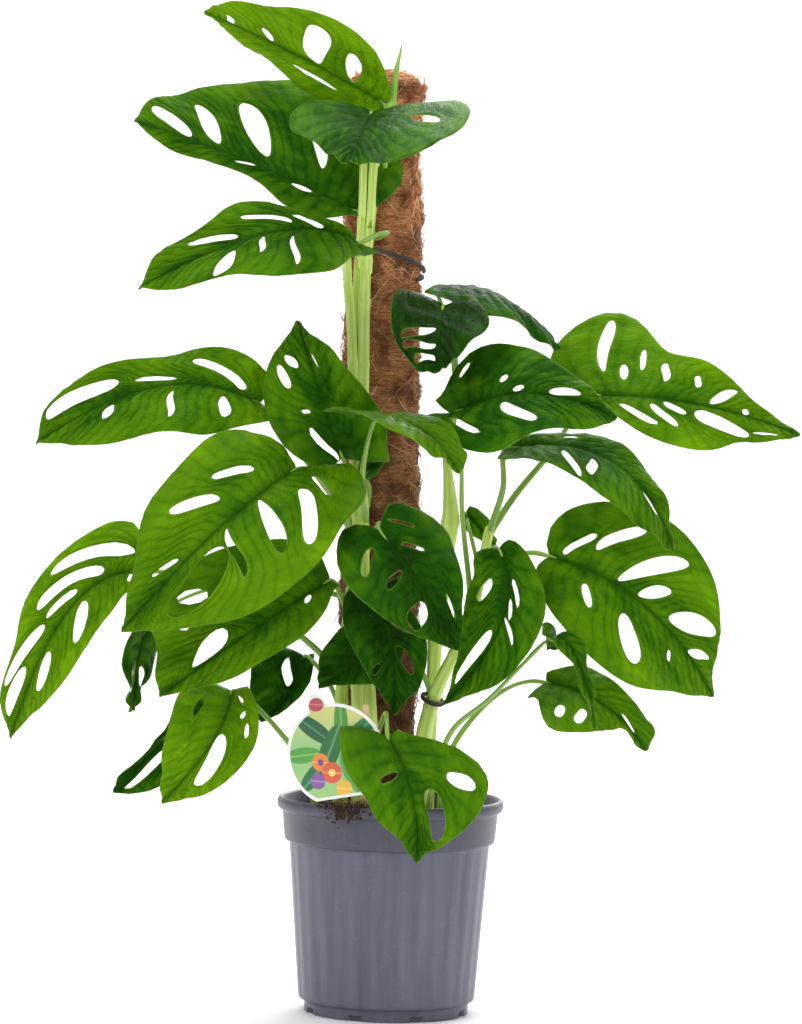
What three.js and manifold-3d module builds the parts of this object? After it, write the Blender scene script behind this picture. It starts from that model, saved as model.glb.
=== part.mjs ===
// A Monstera adansonii trained up a coir pole in a round nursery pot.
// Millimetres, +Z up, X to the right and Y to the back. The origin is the
// centre of the pot's underside on the floor.
import * as THREE from "three";
import Module from "manifold-3d";

const wasm = await Module();
wasm.setup();
const { Manifold, Mesh: SolidMesh } = wasm;

// ---------------------------------------------------------------- sizes
const GAP = 0.3; // clearance between pieces that touch
const POT = {
  rimRadius: 85, height: 162, lip: 9, collar: 25, collarRadius: 79, wallTop: 75, wallBottom: 66,
  wall: 1.8, footRadius: 61.5, footHeight: 9.5, footDepth: 6, floor: 3, padRadius: 12, notches: 8, drains: 6,
};
const SOIL = { top: 141, dome: 5 };
const POLE = { x: -8, y: 10, lean: -0.7, coreRadius: 12, sleeveRadius: 28.5, sleeveFoot: 126, top: 703, crown: 14 };
const BLADE = { thickness: 0.8, rows: 5, ahead: 38, bend: 22, ruffle: 2, ruffles: 3, stemEnd: 12 };
const STALK_SIDES = 8;
const LABEL = { half: 39.2, rise: 38, foot: 36.5, tilt: 0.2, thick: 0.8, turn: -22, centre: [-41, -78.5, 200], ear: 7, earAt: [-17, 37] };
const STICK = { size: [5, 2, 120], lean: 10.5, middle: [-19.5, -74.5, 179.5] };

// Climbing stems, from the potting mix up: a route chosen point by point and a radius at each point.
const STEMS = {
  stem_front: { route: [[-16, -38, 120], [-17, -37, 200], [-22, -31, 260], [-26, -26, 330], [-27, -24, 420], [-25, -24, 500], [-21, -24, 565], [-19, -24, 600], [-17, -24, 640]], radii: [7, 7, 6.5, 6.5, 6.5, 6.2, 5.8, 5.5, 5] },
  stem_right: { route: [[22, -30, 120], [24, -32, 200], [27, -34, 228], [36, -42, 255], [50, -52, 285], [60, -52, 320], [66, -48, 352], [69, -45, 370]], radii: [7.5, 7.5, 7, 5.5, 4.6, 4.4, 4.4, 4] },
  stem_side: { route: [[28, -8, 120], [29, -8, 220], [32, -12, 300], [37, -20, 350], [40, -25, 372], [38, -27, 400], [35, -27, 424]], radii: [4.5, 4.5, 4.5, 5, 7.5, 7, 3] },
  stem_left: { route: [[-38, -24, 120], [-37, -24, 200], [-38, -22, 240], [-36, -18, 290], [-34, -17, 322]], radii: [6, 6, 5, 4.5, 3.5] },
};
const SPIKE = { route: [[-15, -26, 632], [-11, -28, 676], [-8, -26, 702], [-4, -22, 723]], radii: [2.4, 4.6, 3, 0.7] };
// Foam-covered tie wire: the round loop's route, and the small ring on the right stem.
const TIE_WIRE = 1.7;
const POLE_TIE = [[10.2, -4.6, 549], [14.8, 10, 552], [6.2, 30.9, 555], [-14.8, 39.6, 558], [-35.8, 30.9, 562], [-44.6, 10, 566], [-43, -10, 569], [-35, -24.5, 571], [-23, -32, 572], [-13, -27.5, 571], [-6, -20, 569], [1, -15.8, 565], [10.1, -6, 561], [14.6, 3, 558]];
const STEM_TIE = { centre: [30, -36.8, 239], axis: [0.35, -0.35, 1], radius: 7.5 };

// Leaves from the top down. base, mid and tip are points of the midrib, face
// is the way the upper side looks, thick the stalk's radius, and each pair is
// [right half, left half]: fold and droop = degrees, sweep = the first side
// vein's angle from the midrib, edge = how long the side veins are from base to
// tip. A hole is [place along the midrib, start and end along the vein, half
// opening, how far it leans on from start to end]. stalk is the leaf stalk's
// route up to the base.
const LEAVES = [
  { name: "leaf_01", base: [-16, -29, 679], mid: [-76, -26, 711], tip: [-152, -4, 746], face: [0.1, -0.8, -0.55], thick: 1.8,
    fold: [6, -8], droop: [15, 0], sweep: [112, 100],
    stalk: [[-16, -23, 634], [-16, -24, 658]],
    edge: [[9, 17, 38, 51, 56, 49, 41, 23], [18, 18, 21, 34, 35, 34, 26, 17]],
    right: [[0.21, 0.06, 0.55, 0.036, -0.02], [0.37, 0.06, 0.75, 0.058, -0.1], [0.66, 0.06, 0.35, 0.023, -0.01], [0.84, 0.06, 0.6, 0.022, -0.05]], left: [[0.36, 0.3, 0.45, 0.13, 0.05]] },
  { name: "leaf_02", base: [-29, -47, 597], mid: [-114, -52, 634], tip: [-201, -32, 662], face: [-0.05, -0.85, 0.5], thick: 1.8,
    fold: [2, -36], droop: [18, 5], sweep: [125, 110],
    stalk: [[-20, -23, 580], [-25, -38, 590]],
    edge: [[42, 66, 89, 97, 87, 77, 61, 36], [5, 5, 18, 24, 20, 17, 29, 16]],
    right: [[0.2, 0.2, 0.65, 0.019, 0.01], [0.39, 0.15, 0.75, 0.045, -0.03], [0.59, 0.1, 0.75, 0.041, -0.06], [0.78, 0.06, 0.85, 0.051, 0.04]], left: [[0.26, 0.06, 0.21, 0.039, 0.02], [0.5, 0.06, 0.3, 0.021, 0.04]] },
  { name: "leaf_03", base: [-35, -63, 576], mid: [-97, -89, 582], tip: [-192, -90, 538], face: [0, -0.62, 0.78], thick: 1.8,
    fold: [22, 2], droop: [6, 30], sweep: [105, 205],
    stalk: [[-18, -28, 581], [-12, -40, 584], [-18, -54, 583]],
    edge: [[5, 5, 9, 18, 47, 45, 44, 25], [38, 25, 23, 42, 53, 46, 46, 24]],
    right: [[0.27, 0.06, 0.4, 0.042, 0.05], [0.41, 0.15, 0.65, 0.025, 0.09], [0.65, 0.1, 0.6, 0.041, 0.05]], left: [[0.35, 0.2, 0.8, 0.01, -0.05], [0.49, 0.1, 0.55, 0.013, -0.05], [0.58, 0.3, 0.93, 0.029, -0.05]] },
  { name: "leaf_04", base: [-25, -52, 673], mid: [-32, -96, 657], tip: [-41, -136, 632], face: [0.03, -0.42, 0.9], thick: 1.8,
    fold: [12, 10], droop: [15, 12], sweep: [112, 130],
    stalk: [[-13, -26, 598], [-5, -36, 610], [-6, -50, 630], [-14, -56, 656]],
    edge: [[18, 28, 53, 64, 57, 44, 32, 18], [69, 73, 73, 72, 67, 53, 41, 19]],
    right: [], left: [[0.15, 0.45, 0.75, 0.032, -0.01]] },
  { name: "leaf_05", base: [31, -64, 532], mid: [28, -91, 513], tip: [29, -116, 484], face: [-0.02, -0.8, 0.55], thick: 1.8,
    fold: [8, 8], droop: [10, 15], sweep: [120, 120],
    stalk: [[36, -26, 410], [41, -40, 450], [40, -56, 500]],
    edge: [[37, 37, 38, 41, 42, 37, 29, 16], [23, 29, 37, 38, 34, 28, 21, 11]],
    right: [[0.37, 0.1, 0.85, 0.043, -0.16], [0.51, 0.15, 0.93, 0.046, -0.31], [0.65, 0.35, 0.9, 0.066, -0.27]], left: [] },
  { name: "leaf_06", base: [26, -26, 546], mid: [73, -42, 539], tip: [117, -48, 501], face: [0.22, -0.12, 0.95], thick: 1.8,
    fold: [-8, -8], droop: [30, 25], sweep: [125, 125],
    stalk: [[36, -27, 412], [41, -24, 470], [34, -23, 520]],
    edge: [[13, 24, 35, 42, 42, 39, 32, 20], [14, 25, 37, 44, 44, 40, 33, 21]],
    right: [], left: [] },
  { name: "leaf_07", base: [143, -20, 467], mid: [219, -42, 463], tip: [298, -30, 441], face: [0.1, -0.9, 0.35], thick: 2.3,
    fold: [14, 2], droop: [30, 4], sweep: [125, 162],
    stalk: [[69, -44, 364], [88, -24, 392], [114, -10, 424]],
    edge: [[9, 9, 19, 40, 53, 44, 35, 20], [35, 60, 69, 41, 44, 38, 23, 14]],
    right: [[0.2, 0.3, 0.6, 0.045, 0.07], [0.3, 0.15, 0.55, 0.023, 0.04], [0.37, 0.06, 0.3, 0.028, 0.04], [0.53, 0.2, 0.85, 0.084, 0.07], [0.74, 0.65, 0.8, 0.075, 0.07]], left: [[0.11, 0.3, 0.9, 0.012, 0.02], [0.155, 0.2, 0.4, 0.013, 0], [0.198, 0.45, 0.75, 0.009, -0.01], [0.28, 0.35, 0.75, 0.014, -0.04], [0.4, 0.4, 0.65, 0.015, -0.04], [0.54, 0.1, 0.85, 0.029, -0.03], [0.71, 0.06, 0.4, 0.016, -0.03]] },
  { name: "leaf_08", base: [39, -78, 452], mid: [95, -96, 469], tip: [159, -90, 452], face: [0.05, -0.8, 0.58], thick: 1.8,
    fold: [10, 8], droop: [30, 25], sweep: [221, 130],
    stalk: [[56, -50, 316], [48, -58, 380], [46, -68, 420]],
    edge: [[43, 30, 33, 44, 42, 42, 36, 20], [19, 22, 51, 51, 44, 39, 27, 15]],
    right: [[0.15, 0.4, 0.65, 0.033, 0.08], [0.36, 0.2, 0.75, 0.036, 0.07]], left: [[0.11, 0.55, 0.75, 0.011, 0.01], [0.28, 0.25, 0.4, 0.018, 0], [0.4, 0.06, 0.21, 0.029, 0], [0.65, 0.06, 0.55, 0.065, 0.04]] },
  { name: "leaf_09", base: [79, -52, 427], mid: [157, -78, 420], tip: [202, -94, 356], face: [0.3, -0.6, 0.75], thick: 2.2,
    fold: [14, 6], droop: [30, 25], sweep: [110, 110],
    stalk: [[69, -46, 366], [78, -50, 398]],
    edge: [[16, 22, 32, 49, 66, 62, 45, 25], [8, 10, 20, 28, 34, 33, 27, 15]],
    right: [[0.24, 0.25, 0.9, 0.019, 0.02], [0.33, 0.25, 0.7, 0.021, -0.05], [0.77, 0.06, 0.3, 0.07, 0.05]], left: [[0.21, 0.4, 0.55, 0.041, 0.02]] },
  { name: "leaf_10", base: [113, -64, 349], mid: [184, -76, 314], tip: [237, -44, 246], face: [0.1, -0.93, 0.2], thick: 2,
    fold: [12, 6], droop: [28, 20], sweep: [128, 128],
    stalk: [[62, -52, 326], [82, -56, 345], [100, -62, 351]],
    edge: [[12, 27, 46, 65, 76, 66, 47, 25], [8, 35, 58, 73, 72, 61, 40, 19]],
    right: [[0.2, 0.2, 0.45, 0.019, 0.02], [0.38, 0.25, 0.75, 0.045, 0.02], [0.62, 0.35, 0.55, 0.014, -0.02]], left: [[0.1, 0.1, 0.45, 0.018, 0.06], [0.18, 0.25, 0.75, 0.019, 0.03], [0.31, 0.06, 0.8, 0.029, -0.01], [0.42, 0.06, 0.45, 0.031, -0.02], [0.57, 0.15, 0.93, 0.063, -0.04], [0.76, 0.06, 0.8, 0.03, -0.04]] },
  { name: "leaf_11", base: [75, -84, 355], mid: [78, -100, 303], tip: [37, -88, 239], face: [0, -0.95, 0.3], thick: 1.8,
    fold: [8, 16], droop: [20, 30], sweep: [120, 110],
    stalk: [[60, -52, 318], [68, -66, 350]],
    edge: [[15, 21, 25, 36, 40, 37, 28, 14], [9, 15, 23, 37, 43, 42, 30, 15]],
    right: [[0.24, 0.35, 0.7, 0.052, 0.04], [0.69, 0.1, 0.8, 0.118, 0.16]], left: [[0.28, 0.1, 0.3, 0.04, 0.08], [0.39, 0.06, 0.21, 0.039, 0.05], [0.46, 0.06, 0.55, 0.013, -0.01]] },
  { name: "leaf_12", base: [113, -50, 255], mid: [155, -72, 241], tip: [187, -70, 207], face: [0.15, -0.85, 0.5], thick: 2.2,
    fold: [10, 14], droop: [20, 20], sweep: [115, 110],
    stalk: [[34, -46, 128], [38, -47, 175], [46, -47, 206], [66, -49, 234], [84, -50, 249], [100, -50, 255]],
    edge: [[19, 19, 42, 39, 33, 23, 10, 9], [6, 11, 23, 25, 27, 32, 29, 17]],
    right: [[0.16, 0.45, 0.7, 0.023, -0.01], [0.27, 0.45, 0.8, 0.034, -0.04]], left: [[0.72, 0.06, 0.21, 0.068, -0.14]] },
  { name: "leaf_13", base: [-12, -96, 367], mid: [21, -128, 324], tip: [47, -120, 282], face: [0.1, -0.93, 0.33], thick: 1.8,
    fold: [8, 8], droop: [30, 25], sweep: [140, 140],
    stalk: [[-20, -28, 352], [-14, -60, 368], [-12, -86, 371]],
    edge: [[17, 32, 44, 43, 42, 36, 25, 14], [20, 30, 42, 40, 39, 33, 24, 14]],
    right: [[0.14, 0.3, 0.7, 0.019, 0.04], [0.27, 0.15, 0.55, 0.021, -0.02], [0.48, 0.2, 0.9, 0.068, -0.08]], left: [[0.07, 0.35, 0.55, 0.016, 0.06], [0.18, 0.15, 0.45, 0.013, 0.05], [0.55, 0.55, 0.7, 0.082, 0.08]] },
  { name: "leaf_14", base: [-11, -58, 322], mid: [-1, -70, 274], tip: [1, -60, 228], face: [-0.05, -0.93, 0.3], thick: 1.8,
    fold: [10, 10], droop: [25, 20], sweep: [115, 115],
    stalk: [[-21, -28, 308], [-15, -42, 328]],
    edge: [[22, 29, 34, 34, 32, 28, 19, 9], [16, 16, 19, 32, 36, 33, 21, 11]],
    right: [[0.44, 0.5, 0.85, 0.029, -0.02]], left: [[0.23, 0.06, 0.65, 0.037, -0.01], [0.44, 0.1, 0.7, 0.062, 0.01]] },
  { name: "leaf_15", base: [-74, -84, 410], mid: [-128, -122, 368], tip: [-199, -96, 288], face: [-0.15, -0.93, 0.3], thick: 2.4,
    fold: [8, 10], droop: [28, 38], sweep: [125, 168],
    stalk: [[-24, -25, 334], [-44, -48, 384], [-62, -70, 407]],
    edge: [[25, 44, 60, 68, 76, 65, 46, 24], [51, 63, 58, 73, 84, 72, 53, 27]],
    right: [[0.22, 0.25, 0.55, 0.03, 0.07], [0.38, 0.25, 0.7, 0.03, 0.04], [0.7, 0.15, 0.5, 0.023, 0.04]], left: [[0.08, 0.3, 0.65, 0.012, 0.03], [0.17, 0.3, 0.8, 0.032, 0.06], [0.28, 0.06, 0.65, 0.025, -0.01], [0.42, 0.1, 0.65, 0.015, -0.08], [0.57, 0.2, 0.85, 0.123, 0.05]] },
  { name: "leaf_16", base: [-191, -44, 330], mid: [-242, -60, 299], tip: [-283, -36, 202], face: [-0.25, -0.93, 0.2], thick: 2.2,
    fold: [8, 10], droop: [28, 25], sweep: [120, 120],
    stalk: [[-37, -21, 250], [-60, -22, 275], [-98, -28, 302], [-144, -38, 326]],
    edge: [[25, 39, 39, 43, 48, 43, 41, 24], [14, 14, 18, 31, 44, 48, 39, 19]],
    right: [[0.16, 0.3, 0.85, 0.073, 0.17], [0.31, 0.1, 0.7, 0.067, 0.18], [0.43, 0.1, 0.4, 0.048, 0.09], [0.62, 0.25, 0.9, 0.071, 0.08], [0.79, 0.25, 0.85, 0.083, 0.04]], left: [[0.07, 0.2, 0.55, 0.014, 0.02], [0.4, 0.15, 0.7, 0.05, 0.03], [0.69, 0.15, 0.65, 0.064, 0.02]] },
  { name: "leaf_17", base: [-48, -50, 327], mid: [-102, -72, 292], tip: [-172, -60, 238], face: [-0.05, -0.95, 0.25], thick: 1.8,
    fold: [6, 8], droop: [25, 25], sweep: [115, 115],
    stalk: [[-35, -16, 300], [-42, -34, 318]],
    edge: [[22, 38, 56, 84, 104, 74, 50, 27], [8, 9, 20, 31, 38, 40, 31, 16]],
    right: [[0.36, 0.53, 0.75, 0.03, 0], [0.49, 0.62, 0.75, 0.02, 0.02], [0.66, 0.05, 0.42, 0.12, -0.1]], left: [[0.18, 0.06, 0.25, 0.023, 0.01]] },
  { name: "leaf_18", base: [-120, -32, 242], mid: [-133, -48, 205], tip: [-170, -38, 157], face: [0, -0.95, 0.28], thick: 2.4,
    fold: [8, 10], droop: [25, 25], sweep: [120, 112],
    stalk: [[-52, -30, 128], [-62, -30, 186], [-78, -28, 205], [-104, -28, 232]],
    edge: [[35, 35, 40, 45, 46, 41, 29, 16], [12, 16, 26, 37, 41, 37, 26, 14]],
    right: [[0.19, 0.45, 0.6, 0.067, 0.03]], left: [[0.08, 0.3, 0.45, 0.03, 0.03], [0.17, 0.35, 0.5, 0.017, -0.03], [0.21, 0.55, 0.7, 0.026, 0.01], [0.51, 0.06, 0.75, 0.13, 0.1]] },
  { name: "leaf_19", base: [-136, 8, 231], mid: [-171, 0, 199], tip: [-209, 4, 160], face: [-0.1, -0.95, 0.28], thick: 1.8,
    fold: [8, 8], droop: [20, 20], sweep: [110, 110],
    stalk: [[-52, -8, 128], [-66, 4, 180], [-100, 12, 222]],
    edge: [[20, 20, 18, 15, 10, 9, 7, 10], [26, 26, 26, 36, 40, 37, 28, 15]],
    right: [[0.41, 0.35, 0.5, 0.13, -0.09]], left: [[0.65, 0.15, 0.75, 0.13, 0.24]] },
  { name: "leaf_20", base: [-103, -50, 456], mid: [-177, -70, 468], tip: [-268, -40, 422], face: [-0.05, -0.88, 0.45], thick: 2.3,
    fold: [6, 10], droop: [14, 25], sweep: [115, 165],
    stalk: [[-26, -22, 358], [-50, -30, 390], [-72, -42, 420], [-88, -47, 440]],
    edge: [[19, 25, 33, 34, 34, 54, 50, 29], [16, 19, 28, 44, 51, 57, 46, 23]],
    right: [[0.18, 0.1, 0.7, 0.044, 0.14], [0.47, 0.1, 0.25, 0.061, 0.07], [0.7, 0.25, 0.93, 0.109, 0.11]], left: [[0.18, 0.2, 0.65, 0.023, -0.02], [0.38, 0.15, 0.7, 0.013, -0.06], [0.65, 0.2, 0.5, 0.027, -0.03]] },
  { name: "leaf_21", base: [-41, -51, 417], mid: [-58, -66, 464], tip: [-76, -54, 518], face: [-0.15, -0.95, -0.1], thick: 1.8,
    fold: [8, 10], droop: [20, 20], sweep: [120, 120],
    stalk: [[-24, -24, 384], [-34, -38, 402]],
    edge: [[35, 35, 41, 40, 38, 35, 24, 11], [24, 24, 40, 52, 54, 47, 31, 17]],
    right: [[0.78, 0.25, 0.4, 0.13, 0.14]], left: [[0.12, 0.1, 0.35, 0.069, 0.15], [0.32, 0.25, 0.4, 0.012, -0.02], [0.44, 0.55, 0.85, 0.043, 0.03], [0.59, 0.45, 0.8, 0.041, -0.03]] },
  { name: "leaf_22", base: [-17, -70, 448], mid: [15, -116, 442], tip: [44, -144, 411], face: [0.12, -0.5, 0.86], thick: 2.1,
    fold: [22, 0], droop: [10, 15], sweep: [110, 110],
    stalk: [[-23, -27, 370], [-26, -48, 392], [-25, -61, 416]],
    edge: [[42, 42, 45, 44, 42, 38, 25, 11], [22, 24, 30, 36, 37, 37, 30, 17]],
    right: [[0.51, 0.06, 0.35, 0.13, 0.08]], left: [] },
  { name: "leaf_23", base: [-3, -104, 217], mid: [16, -140, 175], tip: [20, -132, 128], face: [0.05, -0.93, 0.3], thick: 1.8,
    fold: [8, 8], droop: [22, 25], sweep: [138, 100],
    stalk: [[-17, -37, 188], [-10, -56, 216], [-5, -82, 232], [-4, -99, 229]],
    edge: [[34, 36, 39, 37, 40, 33, 23, 13], [8, 17, 63, 66, 56, 44, 28, 13]],
    right: [[0.25, 0.15, 0.55, 0.02, -0.02]], left: [[0.21, 0.5, 0.85, 0.029, -0.02], [0.49, 0.25, 0.85, 0.125, 0.14]] },
  { name: "leaf_24", base: [-182, -20, 291], mid: [-192, -24, 259], tip: [-194, -20, 224], face: [0.8, -0.35, 0.5], thick: 1.8,
    fold: [10, 10], droop: [15, 15], sweep: [110, 110],
    stalk: [[-35, -16, 312], [-90, -12, 322], [-150, -14, 312]],
    edge: [[8, 15, 22, 27, 27, 25, 20, 13], [9, 16, 24, 29, 29, 26, 22, 14]],
    right: [[0.5, 0.2, 0.8, 0.12, 0]], left: [[0.5, 0.2, 0.8, 0.1, 0]] },
  { name: "leaf_25", base: [-2, -46, 292], mid: [-28, -56, 267], tip: [-55, -50, 246], face: [-0.1, -0.95, 0.2], thick: 1.8,
    fold: [8, 8], droop: [20, 20], sweep: [115, 115],
    stalk: [[30, -37, 240], [14, -43, 274]],
    edge: [[16, 16, 26, 32, 34, 30, 21, 11], [16, 16, 24, 28, 24, 18, 12, 5]],
    right: [], left: [] },
  { name: "leaf_26", base: [-67, 8, 266], mid: [-76, 0, 240], tip: [-99, 8, 215], face: [0.05, -0.97, 0.2], thick: 1.8,
    fold: [8, 8], droop: [20, 20], sweep: [115, 115],
    stalk: [[-37, -22, 225], [-50, -6, 250]],
    edge: [[27, 31, 37, 42, 40, 32, 22, 12], [7, 7, 8, 10, 12, 11, 9, 5]],
    right: [[0.25, 0.1, 0.4, 0.1, -0.21]], left: [] },
  { name: "leaf_27", base: [112, -98, 289], mid: [131, -109, 280], tip: [148, -102, 224], face: [0.7, -0.6, 0.3], thick: 2.1,
    fold: [22, 22], droop: [22, 22], sweep: [110, 110],
    stalk: [[24, -56, 128], [32, -60, 180], [44, -66, 218], [70, -80, 243], [92, -92, 268]],
    edge: [[6, 11, 16, 19, 19, 18, 15, 9], [5, 10, 14, 17, 17, 16, 13, 8]],
    right: [], left: [] },
  { name: "leaf_28", base: [51, -16, 378], mid: [62, -22, 366], tip: [74, -16, 351], face: [0.2, -0.9, 0.4], thick: 1.5,
    fold: [20, 20], droop: [20, 20], sweep: [110, 110],
    stalk: [[62, -50, 336], [54, -30, 366]],
    edge: [[4, 7, 10, 12, 12, 11, 9, 6], [4, 7, 10, 12, 12, 11, 9, 6]],
    right: [], left: [] },
  { name: "leaf_29", base: [-24, -34, 405], mid: [-15, -42, 422], tip: [-20, -40, 441], face: [-0.3, -0.9, 0.1], thick: 1.5,
    fold: [35, 35], droop: [20, 20], sweep: [110, 110],
    stalk: [[-22, -25, 380], [-21, -30, 394]],
    edge: [[4, 6, 9, 11, 11, 11, 9, 5], [5, 8, 12, 15, 15, 14, 12, 7]],
    right: [], left: [] },
];

// -------------------------------------------------------------- helpers
const v3 = (p) => new THREE.Vector3(...p);
const radians = THREE.MathUtils.degToRad;
const pinch = (q) => Math.min(1, Math.max(0, q));

/** A closed solid from points and triangles. */
function solid(points, triangles) {
  return new Manifold(new SolidMesh({
    numProp: 3,
    vertProperties: new Float32Array(points.flatMap((p) => [p.x, p.y, p.z])),
    triVerts: new Uint32Array(triangles.flat()),
  }));
}

/** The biggest of the loose bodies that a cut left. */
function biggest(made) {
  return made.decompose().sort((a, b) => b.volume() - a.volume())[0];
}

/** A solid of revolution about the line x = at[0], y = at[1], from [radius, z] pairs that run round its section. */
function revolve(profile, segments, at = [0, 0]) {
  const section = new wasm.CrossSection([profile]);
  return Manifold.revolve(section, segments).translate([at[0], at[1], 0]);
}

/** A closed tube of changing radius, grown by `extra`, along a smooth route. */
function tube(route, radii, { steps, sides = STALK_SIDES, extra = 0 }) {
  const curve = new THREE.CatmullRomCurve3(route.map(v3), false, "centripetal");
  const frames = curve.computeFrenetFrames(steps, false);
  const points = [], triangles = [];
  for (let i = 0; i <= steps; i++) {
    const q = i / steps, place = q * (radii.length - 1);
    const k = Math.min(radii.length - 2, Math.floor(place));
    const radius = THREE.MathUtils.lerp(radii[k], radii[k + 1], place - k) + extra;
    const centre = curve.getPointAt(q);
    for (let j = 0; j < sides; j++) {
      const turn = (2 * Math.PI * j) / sides;
      points.push(centre.clone()
        .addScaledVector(frames.normals[i], Math.cos(turn) * radius)
        .addScaledVector(frames.binormals[i], Math.sin(turn) * radius));
    }
  }
  const at = (i, j) => i * sides + (j % sides);
  for (let i = 0; i < steps; i++)
    for (let j = 0; j < sides; j++)
      triangles.push([at(i, j), at(i, j + 1), at(i + 1, j + 1)], [at(i, j), at(i + 1, j + 1), at(i + 1, j)]);
  for (let j = 1; j < sides - 1; j++)
    triangles.push([at(0, 0), at(0, j + 1), at(0, j)], [at(steps, 0), at(steps, j), at(steps, j + 1)]);
  return solid(points, triangles);
}

/** A closed ring tube through a loop of points. */
function ring(loop, radius, { steps, sides = STALK_SIDES }) {
  const curve = new THREE.CatmullRomCurve3(loop.map(v3), true, "centripetal");
  const frames = curve.computeFrenetFrames(steps, true);
  const points = [], triangles = [];
  for (let i = 0; i < steps; i++)
    for (let j = 0; j < sides; j++) {
      const turn = (2 * Math.PI * j) / sides;
      points.push(curve.getPointAt(i / steps)
        .addScaledVector(frames.normals[i], Math.cos(turn) * radius)
        .addScaledVector(frames.binormals[i], Math.sin(turn) * radius));
    }
  const at = (i, j) => (i % steps) * sides + (j % sides);
  for (let i = 0; i < steps; i++)
    for (let j = 0; j < sides; j++)
      triangles.push([at(i, j), at(i, j + 1), at(i + 1, j + 1)], [at(i, j), at(i + 1, j + 1), at(i + 1, j)]);
  return solid(points, triangles);
}

// ---------------------------------------------------------- leaf surface
/** The midrib: a quadratic arc through base, mid and tip that runs on straight past both ends. */
function midrib(leaf) {
  const [base, mid, tip] = [leaf.base, leaf.mid, leaf.tip].map(v3);
  const pull = mid.clone().multiplyScalar(2).addScaledVector(base, -0.5).addScaledVector(tip, -0.5);
  const slope = (q) => pull.clone().sub(base).multiplyScalar(2 * (1 - q)).addScaledVector(tip.clone().sub(pull), 2 * q);
  const point = (q) => base.clone().multiplyScalar((1 - q) ** 2).addScaledVector(pull, 2 * q * (1 - q)).addScaledVector(tip, q * q);
  let long = 0;
  for (let i = 1; i <= 24; i++) long += point(i / 24).distanceTo(point((i - 1) / 24));
  return {
    long,
    at(tau) {
      const q = pinch(tau), along = slope(q);
      return { point: point(q).addScaledVector(along, tau - q), along: along.normalize(), q };
    },
  };
}

/** The length of the side vein at t: a smooth curve through the half's eight edge values, closer together near the base, and 0 at the tip. */
function veinLength(edge, t) {
  const e = [...edge, 0], x = 8 * pinch(t) ** (2 / 3), k = Math.min(7, Math.floor(x)), q = x - k;
  const [a, b, c, d] = [k ? e[k - 1] : 2 * e[0] - e[1], e[k], e[k + 1], k < 7 ? e[k + 2] : -e[7]];
  return Math.max(0, b + 0.5 * q * (c - a + q * (2 * a - 5 * b + 4 * c - d + q * (3 * b - a - 3 * c + d)))) + 0.5;
}

/** The point at t along the midrib and s along a side vein of one half: side 0 is the right half, 1 the left. */
function bladePoint(leaf, rib, t, s, side) {
  const swing = radians(BLADE.ahead + (leaf.sweep[side] - BLADE.ahead) * (1 - pinch(t)) ** 4);
  const bend = radians(BLADE.bend);
  const reach = veinLength(leaf.edge[side], t);
  const out = (reach * (Math.cos(swing - bend * s) - Math.cos(swing))) / bend;
  const on = t * rib.long + (reach * (Math.sin(swing) - Math.sin(swing - bend * s))) / bend;
  const { point, along } = rib.at(on / rib.long);
  const across = along.clone().cross(v3(leaf.face)).normalize();
  const up = across.clone().cross(along);
  const fold = radians(leaf.fold[side]);
  const curl = radians(leaf.droop[side]) / Math.max(...leaf.edge[side]) || 1e-6;
  const sideways = (Math.sin(fold) - Math.sin(fold - curl * out)) / curl;
  const upwards = (Math.cos(fold - curl * out) - Math.cos(fold)) / curl +
    BLADE.ruffle * s * s * Math.sin(2 * Math.PI * BLADE.ruffles * t + 1.7 * side);
  return point.addScaledVector(across, side ? -sideways : sideways).addScaledVector(up, upwards);
}

/** A half's strips between side veins: its holes, and plain strips added in the widest places to make `count`. */
function strips(holes, count) {
  const found = holes.map(([t, from, to, open, lean]) => ({ t, from, to, open, lean }));
  while (found.length < count) {
    const marks = [0, ...found.map((h) => h.t), 1];
    let widest = 0;
    for (let i = 1; i < marks.length - 1; i++)
      if (marks[i + 1] - marks[i] > marks[widest + 1] - marks[widest]) widest = i;
    const t = (marks[widest] + marks[widest + 1]) / 2;
    found.splice(widest, 0, { t, from: 0.4, to: 0.6, open: 0, lean: 0 });
  }
  return found;
}

/** Where a strip's middle line is at s: it leans along its hole and comes back to its own t at both ends. */
function middle({ t, from, to, lean }, s) {
  const u = (2 * s - from - to) / (to - from);
  return t + lean * (u < -1 ? (-0.5 * s) / from : u > 1 ? (0.5 * (1 - s)) / (1 - to) : 0.5 * u);
}

/** The place of a row on a strip: even steps, or steps that put two rows on the ends of its hole. */
function rowPlace({ from, to, open }, row) {
  if (!open) return row / BLADE.rows;
  const below = from > 0.45 ? 2 : 1, above = to < 0.55 ? 2 : 1, end = BLADE.rows - above;
  if (row <= below) return (from * row) / below;
  return row <= end ? from + ((to - from) * (row - below)) / (end - below) : to + ((1 - to) * (row - end)) / above;
}

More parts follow.
